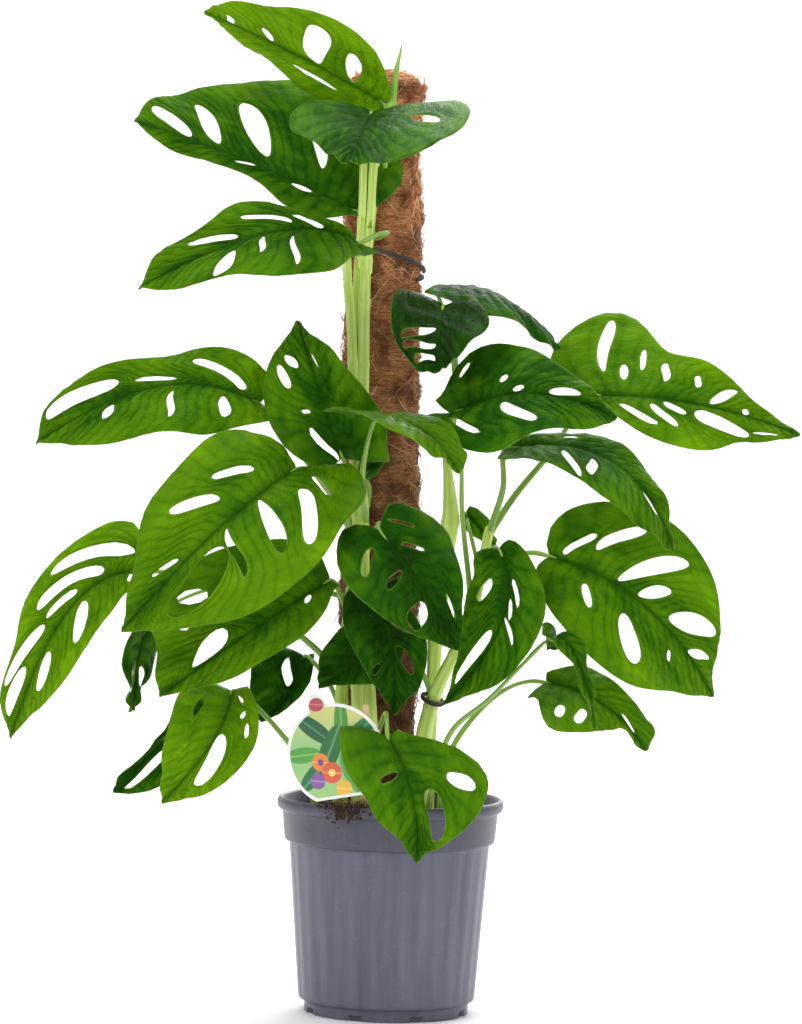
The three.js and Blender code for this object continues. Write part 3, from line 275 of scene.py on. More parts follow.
LEAVES = {
    "leaf_01": sizes(tone=0.97, face=[0.1, -0.8, -0.55], base=[-16, -29, 679], mid=[-76, -26, 711],
        tip=[-152, -4, 746], fold=[6, -8], droop=[15, 0], sweep=[112, 100],
        stalk=[[-16, -23, 634], [-16, -24, 658]],
        edge=[[9, 17, 38, 51, 56, 49, 41, 23], [18, 18, 21, 34, 35, 34, 26, 17]],
        holes=[[[0.21, 0.06, 0.55, 0.036, -0.02], [0.37, 0.06, 0.75, 0.058, -0.1],
        [0.66, 0.06, 0.35, 0.023, -0.01], [0.84, 0.06, 0.6, 0.022, -0.05]],
        [[0.36, 0.3, 0.45, 0.13, 0.05]]]),
    "leaf_02": sizes(tone=0.5, face=[-0.05, -0.85, 0.5], base=[-29, -47, 597], mid=[-114, -52, 634],
        tip=[-201, -32, 662], fold=[2, -36], droop=[18, 5], sweep=[125, 110],
        stalk=[[-20, -23, 580], [-25, -38, 590]],
        edge=[[42, 66, 89, 97, 87, 77, 61, 36], [5, 5, 18, 24, 20, 17, 29, 16]],
        holes=[[[0.2, 0.2, 0.65, 0.019, 0.01], [0.39, 0.15, 0.75, 0.045, -0.03],
        [0.59, 0.1, 0.75, 0.041, -0.06], [0.78, 0.06, 0.85, 0.051, 0.04]],
        [[0.26, 0.06, 0.21, 0.039, 0.02], [0.5, 0.06, 0.3, 0.021, 0.04]]]),
    "leaf_03": sizes(tone=0.55, face=[0, -0.62, 0.78], base=[-35, -63, 576], mid=[-97, -89, 582],
        tip=[-192, -90, 538], fold=[22, 2], droop=[6, 30], sweep=[105, 205],
        stalk=[[-18, -28, 581], [-12, -40, 584], [-18, -54, 583]],
        edge=[[5, 5, 9, 18, 47, 45, 44, 25], [38, 25, 23, 42, 53, 46, 46, 24]],
        holes=[[[0.27, 0.06, 0.4, 0.042, 0.05], [0.41, 0.15, 0.65, 0.025, 0.09],
        [0.65, 0.1, 0.6, 0.041, 0.05]],
        [[0.35, 0.2, 0.8, 0.01, -0.05], [0.49, 0.1, 0.55, 0.013, -0.05],
        [0.58, 0.3, 0.93, 0.029, -0.05]]]),
    "leaf_04": sizes(tone=0.36, face=[0.03, -0.42, 0.9], base=[-25, -52, 673], mid=[-32, -96, 657],
        tip=[-41, -136, 632], fold=[12, 10], droop=[15, 12], sweep=[112, 130],
        stalk=[[-25, -44, 588], [-24, -50, 602], [-23.6, -52, 620], [-22.6, -53, 642], [-22.4, -53, 658]],
        edge=[[18, 28, 53, 64, 57, 44, 32, 18], [69, 73, 73, 72, 67, 53, 41, 19]], holes=[[],
        [[0.15, 0.45, 0.75, 0.032, -0.01]]]),
    "leaf_05": sizes(tone=0.03, face=[-0.02, -0.8, 0.55], base=[31, -64, 532], mid=[28, -91, 513],
        tip=[29, -116, 484], fold=[8, 8], droop=[10, 15], sweep=[120, 120],
        stalk=[[36, -26, 410], [41, -40, 450], [40, -56, 500]],
        edge=[[37, 37, 38, 41, 42, 37, 29, 16], [23, 29, 37, 38, 34, 28, 21, 11]],
        holes=[[[0.37, 0.1, 0.85, 0.043, -0.16], [0.51, 0.15, 0.93, 0.046, -0.31],
        [0.65, 0.35, 0.9, 0.066, -0.27]],
        []]),
    "leaf_06": sizes(tone=0.3, face=[0.22, -0.12, 0.95], base=[26, -26, 546], mid=[73, -42, 539],
        tip=[117, -48, 501], fold=[-8, -8], droop=[30, 25], sweep=[125, 125],
        stalk=[[36, -27, 412], [41, -24, 470], [34, -23, 520]],
        edge=[[13, 24, 35, 42, 42, 39, 32, 20], [14, 25, 37, 44, 44, 40, 33, 21]], holes=[[], []]),
    "leaf_07": sizes(tone=0.72, thick=2.3, face=[0.1, -0.9, 0.35], base=[143, -20, 467],
        mid=[219, -42, 463], tip=[298, -30, 441], fold=[14, 2], droop=[30, 4], sweep=[125, 162],
        stalk=[[69, -44, 364], [88, -24, 392], [114, -10, 424]],
        edge=[[9, 9, 19, 40, 53, 44, 35, 20], [35, 60, 69, 41, 44, 38, 23, 14]],
        holes=[[[0.2, 0.3, 0.6, 0.045, 0.07], [0.3, 0.15, 0.55, 0.023, 0.04],
        [0.37, 0.06, 0.3, 0.028, 0.04], [0.53, 0.2, 0.85, 0.084, 0.07], [0.74, 0.65, 0.8, 0.075, 0.07]],
        [[0.11, 0.3, 0.9, 0.012, 0.02], [0.155, 0.2, 0.4, 0.013, 0], [0.198, 0.45, 0.75, 0.009, -0.01],
        [0.28, 0.35, 0.75, 0.014, -0.04], [0.4, 0.4, 0.65, 0.015, -0.04],
        [0.54, 0.1, 0.85, 0.029, -0.03], [0.71, 0.06, 0.4, 0.016, -0.03]]]),
    "leaf_08": sizes(tone=0.36, face=[0.05, -0.8, 0.58], base=[39, -78, 452], mid=[95, -96, 469],
        tip=[159, -90, 452], fold=[10, 8], droop=[30, 25], sweep=[221, 130],
        stalk=[[56, -50, 316], [48, -58, 380], [46, -68, 420]],
        edge=[[43, 30, 33, 44, 42, 42, 36, 20], [19, 22, 51, 51, 44, 39, 27, 15]],
        holes=[[[0.15, 0.4, 0.65, 0.033, 0.08], [0.36, 0.2, 0.75, 0.036, 0.07]],
        [[0.11, 0.55, 0.75, 0.011, 0.01], [0.28, 0.25, 0.4, 0.018, 0], [0.4, 0.06, 0.21, 0.029, 0],
        [0.65, 0.06, 0.55, 0.065, 0.04]]]),
    "leaf_09": sizes(tone=0.55, thick=2.2, face=[0.3, -0.6, 0.75], base=[79, -52, 427], mid=[157, -78, 420],
        tip=[202, -94, 356], fold=[14, 6], droop=[30, 25], sweep=[110, 110],
        stalk=[[69, -46, 366], [78, -50, 398]],
        edge=[[16, 22, 32, 49, 66, 62, 45, 25], [8, 10, 20, 28, 34, 33, 27, 15]],
        holes=[[[0.24, 0.25, 0.9, 0.019, 0.02], [0.33, 0.25, 0.7, 0.021, -0.05],
        [0.77, 0.06, 0.3, 0.07, 0.05]],
        [[0.21, 0.4, 0.55, 0.041, 0.02]]]),
    "leaf_10": sizes(tone=0.62, thick=2, face=[0.1, -0.93, 0.2], base=[113, -64, 349], mid=[184, -76, 314],
        tip=[237, -44, 246], fold=[12, 6], droop=[28, 20], sweep=[128, 128],
        stalk=[[62, -52, 326], [82, -56, 345], [100, -62, 351]],
        edge=[[12, 27, 46, 65, 76, 66, 47, 25], [8, 35, 58, 73, 72, 61, 40, 19]],
        holes=[[[0.2, 0.2, 0.45, 0.019, 0.02], [0.38, 0.25, 0.75, 0.045, 0.02],
        [0.62, 0.35, 0.55, 0.014, -0.02]],
        [[0.1, 0.1, 0.45, 0.018, 0.06], [0.18, 0.25, 0.75, 0.019, 0.03],
        [0.31, 0.06, 0.8, 0.029, -0.01], [0.42, 0.06, 0.45, 0.031, -0.02],
        [0.57, 0.15, 0.93, 0.063, -0.04], [0.76, 0.06, 0.8, 0.03, -0.04]]]),
    "leaf_11": sizes(tone=0.42, face=[0, -0.95, 0.3], base=[75, -84, 355], mid=[78, -100, 303],
        tip=[37, -88, 239], fold=[8, 16], droop=[20, 30], sweep=[120, 110],
        stalk=[[60, -52, 318], [68, -66, 350]],
        edge=[[15, 21, 25, 36, 40, 37, 28, 14], [9, 15, 23, 37, 43, 42, 30, 15]],
        holes=[[[0.24, 0.35, 0.7, 0.052, 0.04], [0.69, 0.1, 0.8, 0.118, 0.16]],
        [[0.28, 0.1, 0.3, 0.04, 0.08], [0.39, 0.06, 0.21, 0.039, 0.05],
        [0.46, 0.06, 0.55, 0.013, -0.01]]]),
    "leaf_12": sizes(tone=0.6, thick=2.2, face=[0.15, -0.85, 0.5], base=[113, -50, 255],
        mid=[155, -72, 241], tip=[187, -70, 207], fold=[10, 14], droop=[20, 20], sweep=[115, 110],
        stalk=[[34, -46, 128], [38, -47, 175], [46, -47, 206], [66, -49, 234], [84, -50, 249],
        [100, -50, 255]], edge=[[19, 19, 42, 39, 33, 23, 10, 9], [6, 11, 23, 25, 27, 32, 29, 17]],
        holes=[[[0.16, 0.45, 0.7, 0.023, -0.01], [0.27, 0.45, 0.8, 0.034, -0.04]],
        [[0.72, 0.06, 0.21, 0.068, -0.14]]]),
    "leaf_13": sizes(tone=0.28, face=[0.1, -0.93, 0.33], base=[-12, -96, 367], mid=[21, -128, 324],
        tip=[47, -120, 282], fold=[8, 8], droop=[30, 25], sweep=[140, 140],
        stalk=[[-20, -28, 352], [-14, -60, 368], [-12, -86, 371]],
        edge=[[17, 32, 44, 43, 42, 36, 25, 14], [20, 30, 42, 40, 39, 33, 24, 14]],
        holes=[[[0.14, 0.3, 0.7, 0.019, 0.04], [0.27, 0.15, 0.55, 0.021, -0.02],
        [0.48, 0.2, 0.9, 0.068, -0.08]],
        [[0.07, 0.35, 0.55, 0.016, 0.06], [0.18, 0.15, 0.45, 0.013, 0.05],
        [0.55, 0.55, 0.7, 0.082, 0.08]]]),
    "leaf_14": sizes(tone=0.15, face=[-0.05, -0.93, 0.3], base=[-11, -58, 322], mid=[-1, -70, 274],
        tip=[1, -60, 228], fold=[10, 10], droop=[25, 20], sweep=[115, 115],
        stalk=[[-21, -28, 308], [-15, -42, 328]],
        edge=[[22, 29, 34, 34, 32, 28, 19, 9], [16, 16, 19, 32, 36, 33, 21, 11]],
        holes=[[[0.44, 0.5, 0.85, 0.029, -0.02]],
        [[0.23, 0.06, 0.65, 0.037, -0.01], [0.44, 0.1, 0.7, 0.062, 0.01]]]),
    "leaf_15": sizes(tone=0.7, thick=2.4, face=[-0.15, -0.93, 0.3], base=[-74, -84, 410],
        mid=[-128, -122, 368], tip=[-199, -96, 288], fold=[8, 10], droop=[28, 38], sweep=[125, 168],
        stalk=[[-24, -25, 334], [-44, -48, 384], [-62, -70, 407]],
        edge=[[25, 44, 60, 68, 76, 65, 46, 24], [51, 63, 58, 73, 84, 72, 53, 27]],
        holes=[[[0.22, 0.25, 0.55, 0.03, 0.07], [0.38, 0.25, 0.7, 0.03, 0.04],
        [0.7, 0.15, 0.5, 0.023, 0.04]],
        [[0.08, 0.3, 0.65, 0.012, 0.03], [0.17, 0.3, 0.8, 0.032, 0.06],
        [0.28, 0.06, 0.65, 0.025, -0.01], [0.42, 0.1, 0.65, 0.015, -0.08],
        [0.57, 0.2, 0.85, 0.123, 0.05]]]),
    "leaf_16": sizes(tone=0.85, thick=2.2, face=[-0.25, -0.93, 0.2], base=[-191, -44, 330],
        mid=[-242, -60, 299], tip=[-283, -36, 202], fold=[8, 10], droop=[28, 25], sweep=[120, 120],
        stalk=[[-37, -21, 250], [-60, -22, 275], [-98, -28, 302], [-144, -38, 326]],
        edge=[[25, 39, 39, 43, 48, 43, 41, 24], [14, 14, 18, 31, 44, 48, 39, 19]],
        holes=[[[0.16, 0.3, 0.85, 0.073, 0.17], [0.31, 0.1, 0.7, 0.067, 0.18],
        [0.43, 0.1, 0.4, 0.048, 0.09], [0.62, 0.25, 0.9, 0.071, 0.08], [0.79, 0.25, 0.85, 0.083, 0.04]],
        [[0.07, 0.2, 0.55, 0.014, 0.02], [0.4, 0.15, 0.7, 0.05, 0.03],
        [0.69, 0.15, 0.65, 0.064, 0.02]]]),
    "leaf_17": sizes(tone=0.68, face=[-0.05, -0.95, 0.25], base=[-48, -50, 327], mid=[-102, -72, 292],
        tip=[-172, -60, 238], fold=[6, 8], droop=[25, 25], sweep=[115, 115],
        stalk=[[-35, -16, 300], [-42, -34, 318]],
        edge=[[22, 38, 56, 84, 104, 74, 50, 27], [8, 9, 20, 31, 38, 40, 31, 16]],
        holes=[[[0.36, 0.53, 0.75, 0.03, 0], [0.49, 0.62, 0.75, 0.02, 0.02],
        [0.66, 0.05, 0.42, 0.12, -0.1]],
        [[0.18, 0.06, 0.25, 0.023, 0.01]]]),
    "leaf_18": sizes(tone=0.9, thick=2.4, face=[0, -0.95, 0.28], base=[-120, -32, 242],
        mid=[-133, -48, 205], tip=[-170, -38, 157], fold=[8, 10], droop=[25, 25], sweep=[120, 112],
        stalk=[[-52, -30, 128], [-62, -30, 186], [-78, -28, 205], [-104, -28, 232]],
        edge=[[35, 35, 40, 45, 46, 41, 29, 16], [12, 16, 26, 37, 41, 37, 26, 14]],
        holes=[[[0.19, 0.45, 0.6, 0.067, 0.03]],
        [[0.08, 0.3, 0.45, 0.03, 0.03], [0.17, 0.35, 0.5, 0.017, -0.03], [0.21, 0.55, 0.7, 0.026, 0.01],
        [0.51, 0.06, 0.75, 0.13, 0.1]]]),
    "leaf_19": sizes(tone=0.35, face=[-0.1, -0.95, 0.28], base=[-136, 8, 231], mid=[-171, 0, 199],
        tip=[-209, 4, 160], fold=[8, 8], droop=[20, 20], sweep=[110, 110],
        stalk=[[-52, -8, 128], [-66, 4, 180], [-100, 12, 222]],
        edge=[[20, 20, 18, 15, 10, 9, 7, 10], [26, 26, 26, 36, 40, 37, 28, 15]],
        holes=[[[0.41, 0.35, 0.5, 0.13, -0.09]],
        [[0.65, 0.15, 0.75, 0.13, 0.24]]]),
    "leaf_20": sizes(tone=0.65, thick=2.3, face=[-0.05, -0.88, 0.45], base=[-103, -50, 456],
        mid=[-177, -70, 468], tip=[-268, -40, 422], fold=[6, 10], droop=[14, 25], sweep=[115, 165],
        stalk=[[-26, -22, 358], [-50, -30, 390], [-72, -42, 420], [-88, -47, 440]],
        edge=[[19, 25, 33, 34, 34, 54, 50, 29], [16, 19, 28, 44, 51, 57, 46, 23]],
        holes=[[[0.18, 0.1, 0.7, 0.044, 0.14], [0.47, 0.1, 0.25, 0.061, 0.07],
        [0.7, 0.25, 0.93, 0.109, 0.11]],
        [[0.18, 0.2, 0.65, 0.023, -0.02], [0.38, 0.15, 0.7, 0.013, -0.06],
        [0.65, 0.2, 0.5, 0.027, -0.03]]]),
    "leaf_21": sizes(tone=0.45, face=[-0.15, -0.95, -0.1], base=[-41, -51, 417], mid=[-58, -66, 464],
        tip=[-76, -54, 518], fold=[8, 10], droop=[20, 20], sweep=[120, 120],
        stalk=[[-24, -24, 384], [-34, -38, 402]],
        edge=[[35, 35, 41, 40, 38, 35, 24, 11], [24, 24, 40, 52, 54, 47, 31, 17]],
        holes=[[[0.78, 0.25, 0.4, 0.13, 0.14]],
        [[0.12, 0.1, 0.35, 0.069, 0.15], [0.32, 0.25, 0.4, 0.012, -0.02],
        [0.44, 0.55, 0.85, 0.043, 0.03], [0.59, 0.45, 0.8, 0.041, -0.03]]]),
    "leaf_22": sizes(tone=0.72, thick=2.1, face=[0.12, -0.5, 0.86], base=[-17, -70, 448],
        mid=[15, -116, 442], tip=[44, -144, 411], fold=[22, 0], droop=[10, 15], sweep=[110, 110],
        stalk=[[-23, -27, 370], [-26, -48, 392], [-25, -61, 416]],
        edge=[[42, 42, 45, 44, 42, 38, 25, 11], [22, 24, 30, 36, 37, 37, 30, 17]],
        holes=[[[0.51, 0.06, 0.35, 0.13, 0.08]],
        []]),
    "leaf_23": sizes(tone=0.6, face=[0.05, -0.93, 0.3], base=[-3, -104, 217], mid=[16, -140, 175],
        tip=[20, -132, 128], fold=[8, 8], droop=[22, 25], sweep=[138, 100],
        stalk=[[-17, -37, 188], [-10, -56, 216], [-5, -82, 232], [-4, -99, 229]],
        edge=[[34, 36, 39, 37, 40, 33, 23, 13], [8, 17, 63, 66, 56, 44, 28, 13]],
        holes=[[[0.25, 0.15, 0.55, 0.02, -0.02]],
        [[0.21, 0.5, 0.85, 0.029, -0.02], [0.49, 0.25, 0.85, 0.125, 0.14]]]),
    "leaf_24": sizes(tone=0.4, face=[0.8, -0.35, 0.5], base=[-182, -20, 291], mid=[-192, -24, 259],
        tip=[-194, -20, 224], fold=[10, 10], droop=[15, 15], sweep=[110, 110],
        stalk=[[-35, -16, 312], [-90, -12, 322], [-150, -14, 312]],
        edge=[[8, 15, 22, 27, 27, 25, 20, 13], [9, 16, 24, 29, 29, 26, 22, 14]],
        holes=[[[0.5, 0.2, 0.8, 0.12, 0]],
        [[0.5, 0.2, 0.8, 0.1, 0]]]),
    "leaf_25": sizes(tone=0.2, face=[-0.1, -0.95, 0.2], base=[-2, -46, 292], mid=[-28, -56, 267],
        tip=[-55, -50, 246], fold=[8, 8], droop=[20, 20], sweep=[115, 115],
        stalk=[[30, -37, 240], [14, -43, 274]],
        edge=[[16, 16, 26, 32, 34, 30, 21, 11], [16, 16, 24, 28, 24, 18, 12, 5]], holes=[[], []]),
    "leaf_26": sizes(tone=0.25, face=[0.05, -0.97, 0.2], base=[-67, 8, 266], mid=[-76, 0, 240],
        tip=[-99, 8, 215], fold=[8, 8], droop=[20, 20], sweep=[115, 115],
        stalk=[[-37, -22, 225], [-50, -6, 250]],
        edge=[[27, 31, 37, 42, 40, 32, 22, 12], [7, 7, 8, 10, 12, 11, 9, 5]],
        holes=[[[0.25, 0.1, 0.4, 0.1, -0.21]],
        []]),
    "leaf_27": sizes(tone=0.5, thick=2.1, face=[0.7, -0.6, 0.3], base=[112, -98, 289], mid=[131, -109, 280],
        tip=[148, -102, 224], fold=[22, 22], droop=[22, 22], sweep=[110, 110],
        stalk=[[24, -56, 128], [32, -60, 180], [44, -66, 218], [70, -80, 243], [92, -92, 268]],
        edge=[[6, 11, 16, 19, 19, 18, 15, 9], [5, 10, 14, 17, 17, 16, 13, 8]], holes=[[], []]),
    "leaf_28": sizes(tone=0.7, thick=1.5, face=[0.2, -0.9, 0.4], base=[51, -16, 378], mid=[62, -22, 366],
        tip=[74, -16, 351], fold=[20, 20], droop=[20, 20], sweep=[110, 110],
        stalk=[[62, -50, 336], [54, -30, 366]],
        edge=[[4, 7, 10, 12, 12, 11, 9, 6], [4, 7, 10, 12, 12, 11, 9, 6]], holes=[[], []]),
    "leaf_29": sizes(tone=0.4, thick=1.5, face=[-0.3, -0.9, 0.1], base=[-24, -34, 405], mid=[-15, -42, 422],
        tip=[-20, -40, 441], fold=[35, 35], droop=[20, 20], sweep=[110, 110],
        stalk=[[-22, -25, 380], [-21, -30, 394]],
        edge=[[4, 6, 9, 11, 11, 11, 9, 5], [5, 8, 12, 15, 15, 14, 12, 7]], holes=[[], []]),
}
AHEAD = 38  # degrees from the midrib to the last side veins
BEND = math.radians(22)  # how much a side vein turns towards the tip on its way out
RUFFLE, RUFFLES = 2, 3  # height in mm and number of the waves along the margin
BLADE_THICK, MARGIN_THIN = 0.5, 0.35  # mm, and the share of it that is left at an edge
LINE_STEP, ROWS = 2.6, 22  # mm between the mesh lines along the midrib, and cells along a vein
VEIN_STEP, VEIN_CLEAR = 10, 1.6  # mm between side veins, and from a vein's line to the next line
RIB_GROOVE, RIB_WIDTH = 0.9, 2.2  # depth and half width of the groove over the midrib, mm
QUILT = 0.13  # how high a panel swells, as a share of the distance between its veins
WRINKLE, BUCKLE = (0.4, 9), (1.1, 38)  # height and size of the small and the large waves, mm

print(len(LEAVES), "leaves,", sum(len(half) for leaf in LEAVES.values() for half in leaf["holes"]), "holes")


# %% [markdown]
# The surface itself. The midrib is a parabola through its three points. A side
# vein leaves it at an angle that is wide at the base lobes and narrow at the
# tip, bends forwards on its way, and has the length that the edge values give.
# The half is then folded up from the midrib and curled down like a shallow arch.

# %% The leaf surface
def midrib(leaf):
    """The midrib as a function of tau, and its length: the parabola through
    base, mid and tip (a quadratic Bezier curve whose pull point is 2 mid -
    base/2 - tip/2), which runs straight on past both ends."""
    base, mid, tip = (np.array(leaf[k], float) for k in ("base", "mid", "tip"))
    pull = 2 * mid - 0.5 * base - 0.5 * tip

    def at(tau):
        q = np.clip(tau, 0, 1)[..., None]
        slope = 2 * (1 - q) * (pull - base) + 2 * q * (tip - pull)
        point = (1 - q) ** 2 * base + 2 * q * (1 - q) * pull + q * q * tip
        return point + (tau[..., None] - q) * slope, unit(slope)

    return at, distances(at(np.linspace(0, 1, 25))[0])[-1]


def vein_length(edge, t):
    """The side vein's length at t: a Catmull-Rom curve through the eight edge
    values, which stand closer together near the base, and 0 at the tip."""
    values = np.array([2 * edge[0] - edge[1], *edge, 0, -edge[-1]], float)
    x = 8 * np.clip(t, 0, 1) ** (2 / 3)
    k = np.minimum(x.astype(int), 7)
    q, a, b, c, d = x - k, values[k], values[k + 1], values[k + 2], values[k + 3]
    curve = q * (c - a + q * (2 * a - 5 * b + 4 * c - d + q * (3 * b - a - 3 * c + d)))
    return np.maximum(0, b + 0.5 * curve) + 0.5


def across_and_up(ahead, face):
    """A blade's sideways and upward directions at points of its midrib."""
    across = unit(np.cross(ahead, face))
    return across, np.cross(across, ahead)


def blade_points(leaf, t, s, side):
    """Points of one half, side 0 right and 1 left: out and along the bent
    vein, then an arch that starts at the fold angle and loses the droop angle
    over the half's width, with waves that grow as s squared."""
    at, long = midrib(leaf)
    swing = np.radians(AHEAD + (leaf["sweep"][side] - AHEAD) * (1 - np.clip(t, 0, 1)) ** 4)
    reach = vein_length(leaf["edge"][side], t)
    out = reach * (np.cos(swing - BEND * s) - np.cos(swing)) / BEND
    forward = t * long + reach * (np.sin(swing) - np.sin(swing - BEND * s)) / BEND
    point, ahead = at(forward / long)
    across, up = across_and_up(ahead, leaf["face"])
    fold = math.radians(leaf["fold"][side])
    curl = math.radians(leaf["droop"][side]) / max(leaf["edge"][side]) or 1e-6
    sideways = (math.sin(fold) - np.sin(fold - curl * out)) / curl
    upwards = (np.cos(fold - curl * out) - math.cos(fold)) / curl
    upwards = upwards + RUFFLE * s * s * np.sin(TURN * RUFFLES * t + 1.7 * side)
    return point + ((1 - 2 * side) * sideways)[..., None] * across + upwards[..., None] * up


TOP_LEAF = LEAVES["leaf_01"]
print("the top leaf's midrib is", round(midrib(TOP_LEAF)[1]), "mm long")


# %% [markdown]
# The mesh flows round the holes. Lines run from the midrib to the margin, one
# of them exactly on each hole's middle. Between a hole and its neighbour the
# lines are pushed aside in proportion, so the line on the middle opens into the
# hole's two sides. No cell is cut, the edge is smooth, and the rows crowd
# towards a hole's two ends, where its outline turns fastest.

# %% Lines round the holes
def hole_shape(hole, s):
    """Where a hole's middle line is at s, and half its opening there: an
    ellipse about a line that leans, and comes back to its own place at both
    ends of the vein in soft S-curves."""
    place, start, end, opening, lean = hole
    u = (2 * s - start - end) / (end - start)
    away = 0.5 * np.sin(math.pi / 2 * np.clip(u, -1, 1))
    away = np.where(u < -1, -0.5 * smooth(0, start, s), away)
    away = np.where(u > 1, 0.5 - 0.5 * smooth(end, 1, s), away)
    return place + lean * away, opening * np.sqrt(np.clip(1 - u * u, 0, 1))


def crowded_rows(hole):
    """Row places with one row on each end of the hole, and cosine steps
    between them."""
    _, start, end, _, _ = hole
    first, last = max(1, round(start * ROWS)), min(ROWS - 1, round(end * ROWS))
    steps = np.cos(np.linspace(0, math.pi, last - first + 1))
    inside = (start + end) / 2 - (end - start) / 2 * steps
    before, after = np.linspace(0, start, first + 1)[:-1], np.linspace(end, 1, ROWS - last + 1)[1:]
    return np.concatenate([before, inside, after])


def half_lines(holes, lines):
    """For every line and row of one half: t on the line's near branch and far
    branch (they differ only along a hole), and s."""
    even = np.broadcast_to(np.linspace(0, 1, ROWS + 1), (len(lines), ROWS + 1))
    if not holes:
        t = np.broadcast_to(lines[:, None], even.shape)
        return t, t, even
    places = np.array([h[0] for h in holes])
    marks = np.concatenate([[0], (places[1:] + places[:-1]) / 2, [1]])
    own = np.clip(np.searchsorted(marks, lines, side="right") - 1, 0, len(holes) - 1)
    near, far, rows = np.empty_like(even), np.empty_like(even), np.empty_like(even)
    for k, hole in enumerate(holes):
        mine = np.flatnonzero(own == k)
        line = lines[mine]
        room = np.where(line < hole[0], hole[0] - marks[k], marks[k + 1] - hole[0])
        v = ((line - hole[0]) / room)[:, None]
        s = (1 - abs(v)) * crowded_rows(hole) + abs(v) * even[mine]
        middle, gap = hole_shape(hole, s)
        before, after = np.zeros_like(s), np.ones_like(s)
        if k:
            other, width = hole_shape(holes[k - 1], s)
            before = (other + width + middle - gap) / 2
        if k + 1 < len(holes):
            other, width = hole_shape(holes[k + 1], s)
            after = (other - width + middle + gap) / 2
        back = middle - gap - abs(v) * (middle - gap - before)
        on = middle + gap + abs(v) * (after - middle - gap)
        near[mine], far[mine], rows[mine] = np.where(v > 0, on, back), np.where(v < 0, back, on), s
    return near, far, rows


print("rows through the top leaf's first hole:", crowded_rows(TOP_LEAF["holes"][0][0]).round(2))


# %% [markdown]
# A leaf is not flat between its veins. Each panel swells a little, the veins
# and the midrib lie in grooves on the upper side, and fine wrinkles cross the
# panels. Those few tenths of a millimetre to a millimetre are what the light
# catches, so they are moved points and not only a bump in the material. First
# the places: how far a point is from an edge, and where veins and lines run.

# %% Edges, veins and lines
def rim_distance(holes, t, s, reach, long):
    """Millimetres from a point to the nearest edge: to the margin along the
    vein, or to a hole, whose ellipse value over its own slope is about that
    distance."""
    near = np.minimum((1 - s) * reach, t * long)
    for hole in holes:
        _, start, end, opening, _ = hole
        off, half, beyond = t - hole_shape(hole, s)[0], (end - start) / 2, s - (start + end) / 2
        e = np.sqrt((off / opening) ** 2 + (beyond / half) ** 2) + 1e-9
        slope = np.hypot(off / (opening**2 * long * e), beyond / (half**2 * np.maximum(reach, 1) * e))
        near = np.minimum(near, (e - 1) / np.maximum(slope, 1e-6))
    return np.maximum(near, 0)


def vein_spots(holes, long):
    """Where side veins leave the midrib: one between every two holes, and
    more where they would stand too far apart."""
    places = [h[0] for h in holes]
    marks = [0.0, *((a + b) / 2 for a, b in zip(places, places[1:])), 1.0]
    spots = [0.0]
    for a, b in zip(marks, marks[1:]):
        more = max(1, round((b - a) * long / VEIN_STEP))
        if more % 2 == 0 and any(a < p < b for p in places):
            more += 1
        spots += list(np.linspace(a, b, more + 1)[1:])
    return np.array(spots)


def mesh_lines(marks, spots, long):
    """Places of the mesh lines: every mark, every vein that isn't too near
    one, and even steps between them."""
    kept = sorted(marks)
    for spot in spots:
        if min(abs(spot - k) for k in kept) * long > VEIN_CLEAR:
            kept.append(spot)
    kept.sort()
    counts = [max(2, round((b - a) * long / LINE_STEP) + 1) for a, b in zip(kept, kept[1:])]
    steps = [np.linspace(a, b, count) for a, b, count in zip(kept, kept[1:], counts)]
    return np.unique(np.concatenate(steps).round(6))


print("side veins on the top leaf's right half:", len(vein_spots(TOP_LEAF["holes"][0], midrib(TOP_LEAF)[1])))

# %% [markdown]
# Each half is laid out twice, once for the near and once for the far edges of
# its holes, and a cell between two lines takes its first side from the far
# layout and its second from the near one. Away from the holes both layouts
# fall together, and so do the halves along the midrib, so all points that
# share a place are made one. The sheet is then whole, with the holes open.

# %% From lines to a sheet
def branch(leaf, side, lines, spots, t, s):
    """Points of one side's near or far lines, and what is known at each: the
    vein count (a whole number on each vein), s, the panel's swell, mm along
    the midrib and along the vein, mm to an edge, and the relief."""
    long = midrib(leaf)[1]
    phase = np.interp(lines, spots, np.arange(len(spots)))[:, None]
    step = np.interp(lines, (spots[1:] + spots[:-1]) / 2, np.diff(spots) * long)[:, None]
    reach = vein_length(leaf["edge"][side], t)
    swell = abs(np.sin(math.pi * phase)) ** 1.3
    bulge = QUILT * step * swell * smooth(0.02, 0.2, s) * (1 - 0.7 * smooth(0.7, 1, s))
    groove = -RIB_GROOVE * np.exp(-((s * reach / RIB_WIDTH) ** 2)) * (1 - 0.6 * t)
    rim = rim_distance(leaf["holes"][side], t, s, reach, long)
    tip = lines[:, None] == 1
    points = blade_points(leaf, np.where(tip, 1.0, t), np.where(tip, 0.0, s), side)
    known = stack(phase + 40 * side, s, swell, t * long, s * reach, rim, bulge + groove)
    return points.reshape(-1, 3), known.reshape(-1, 7)


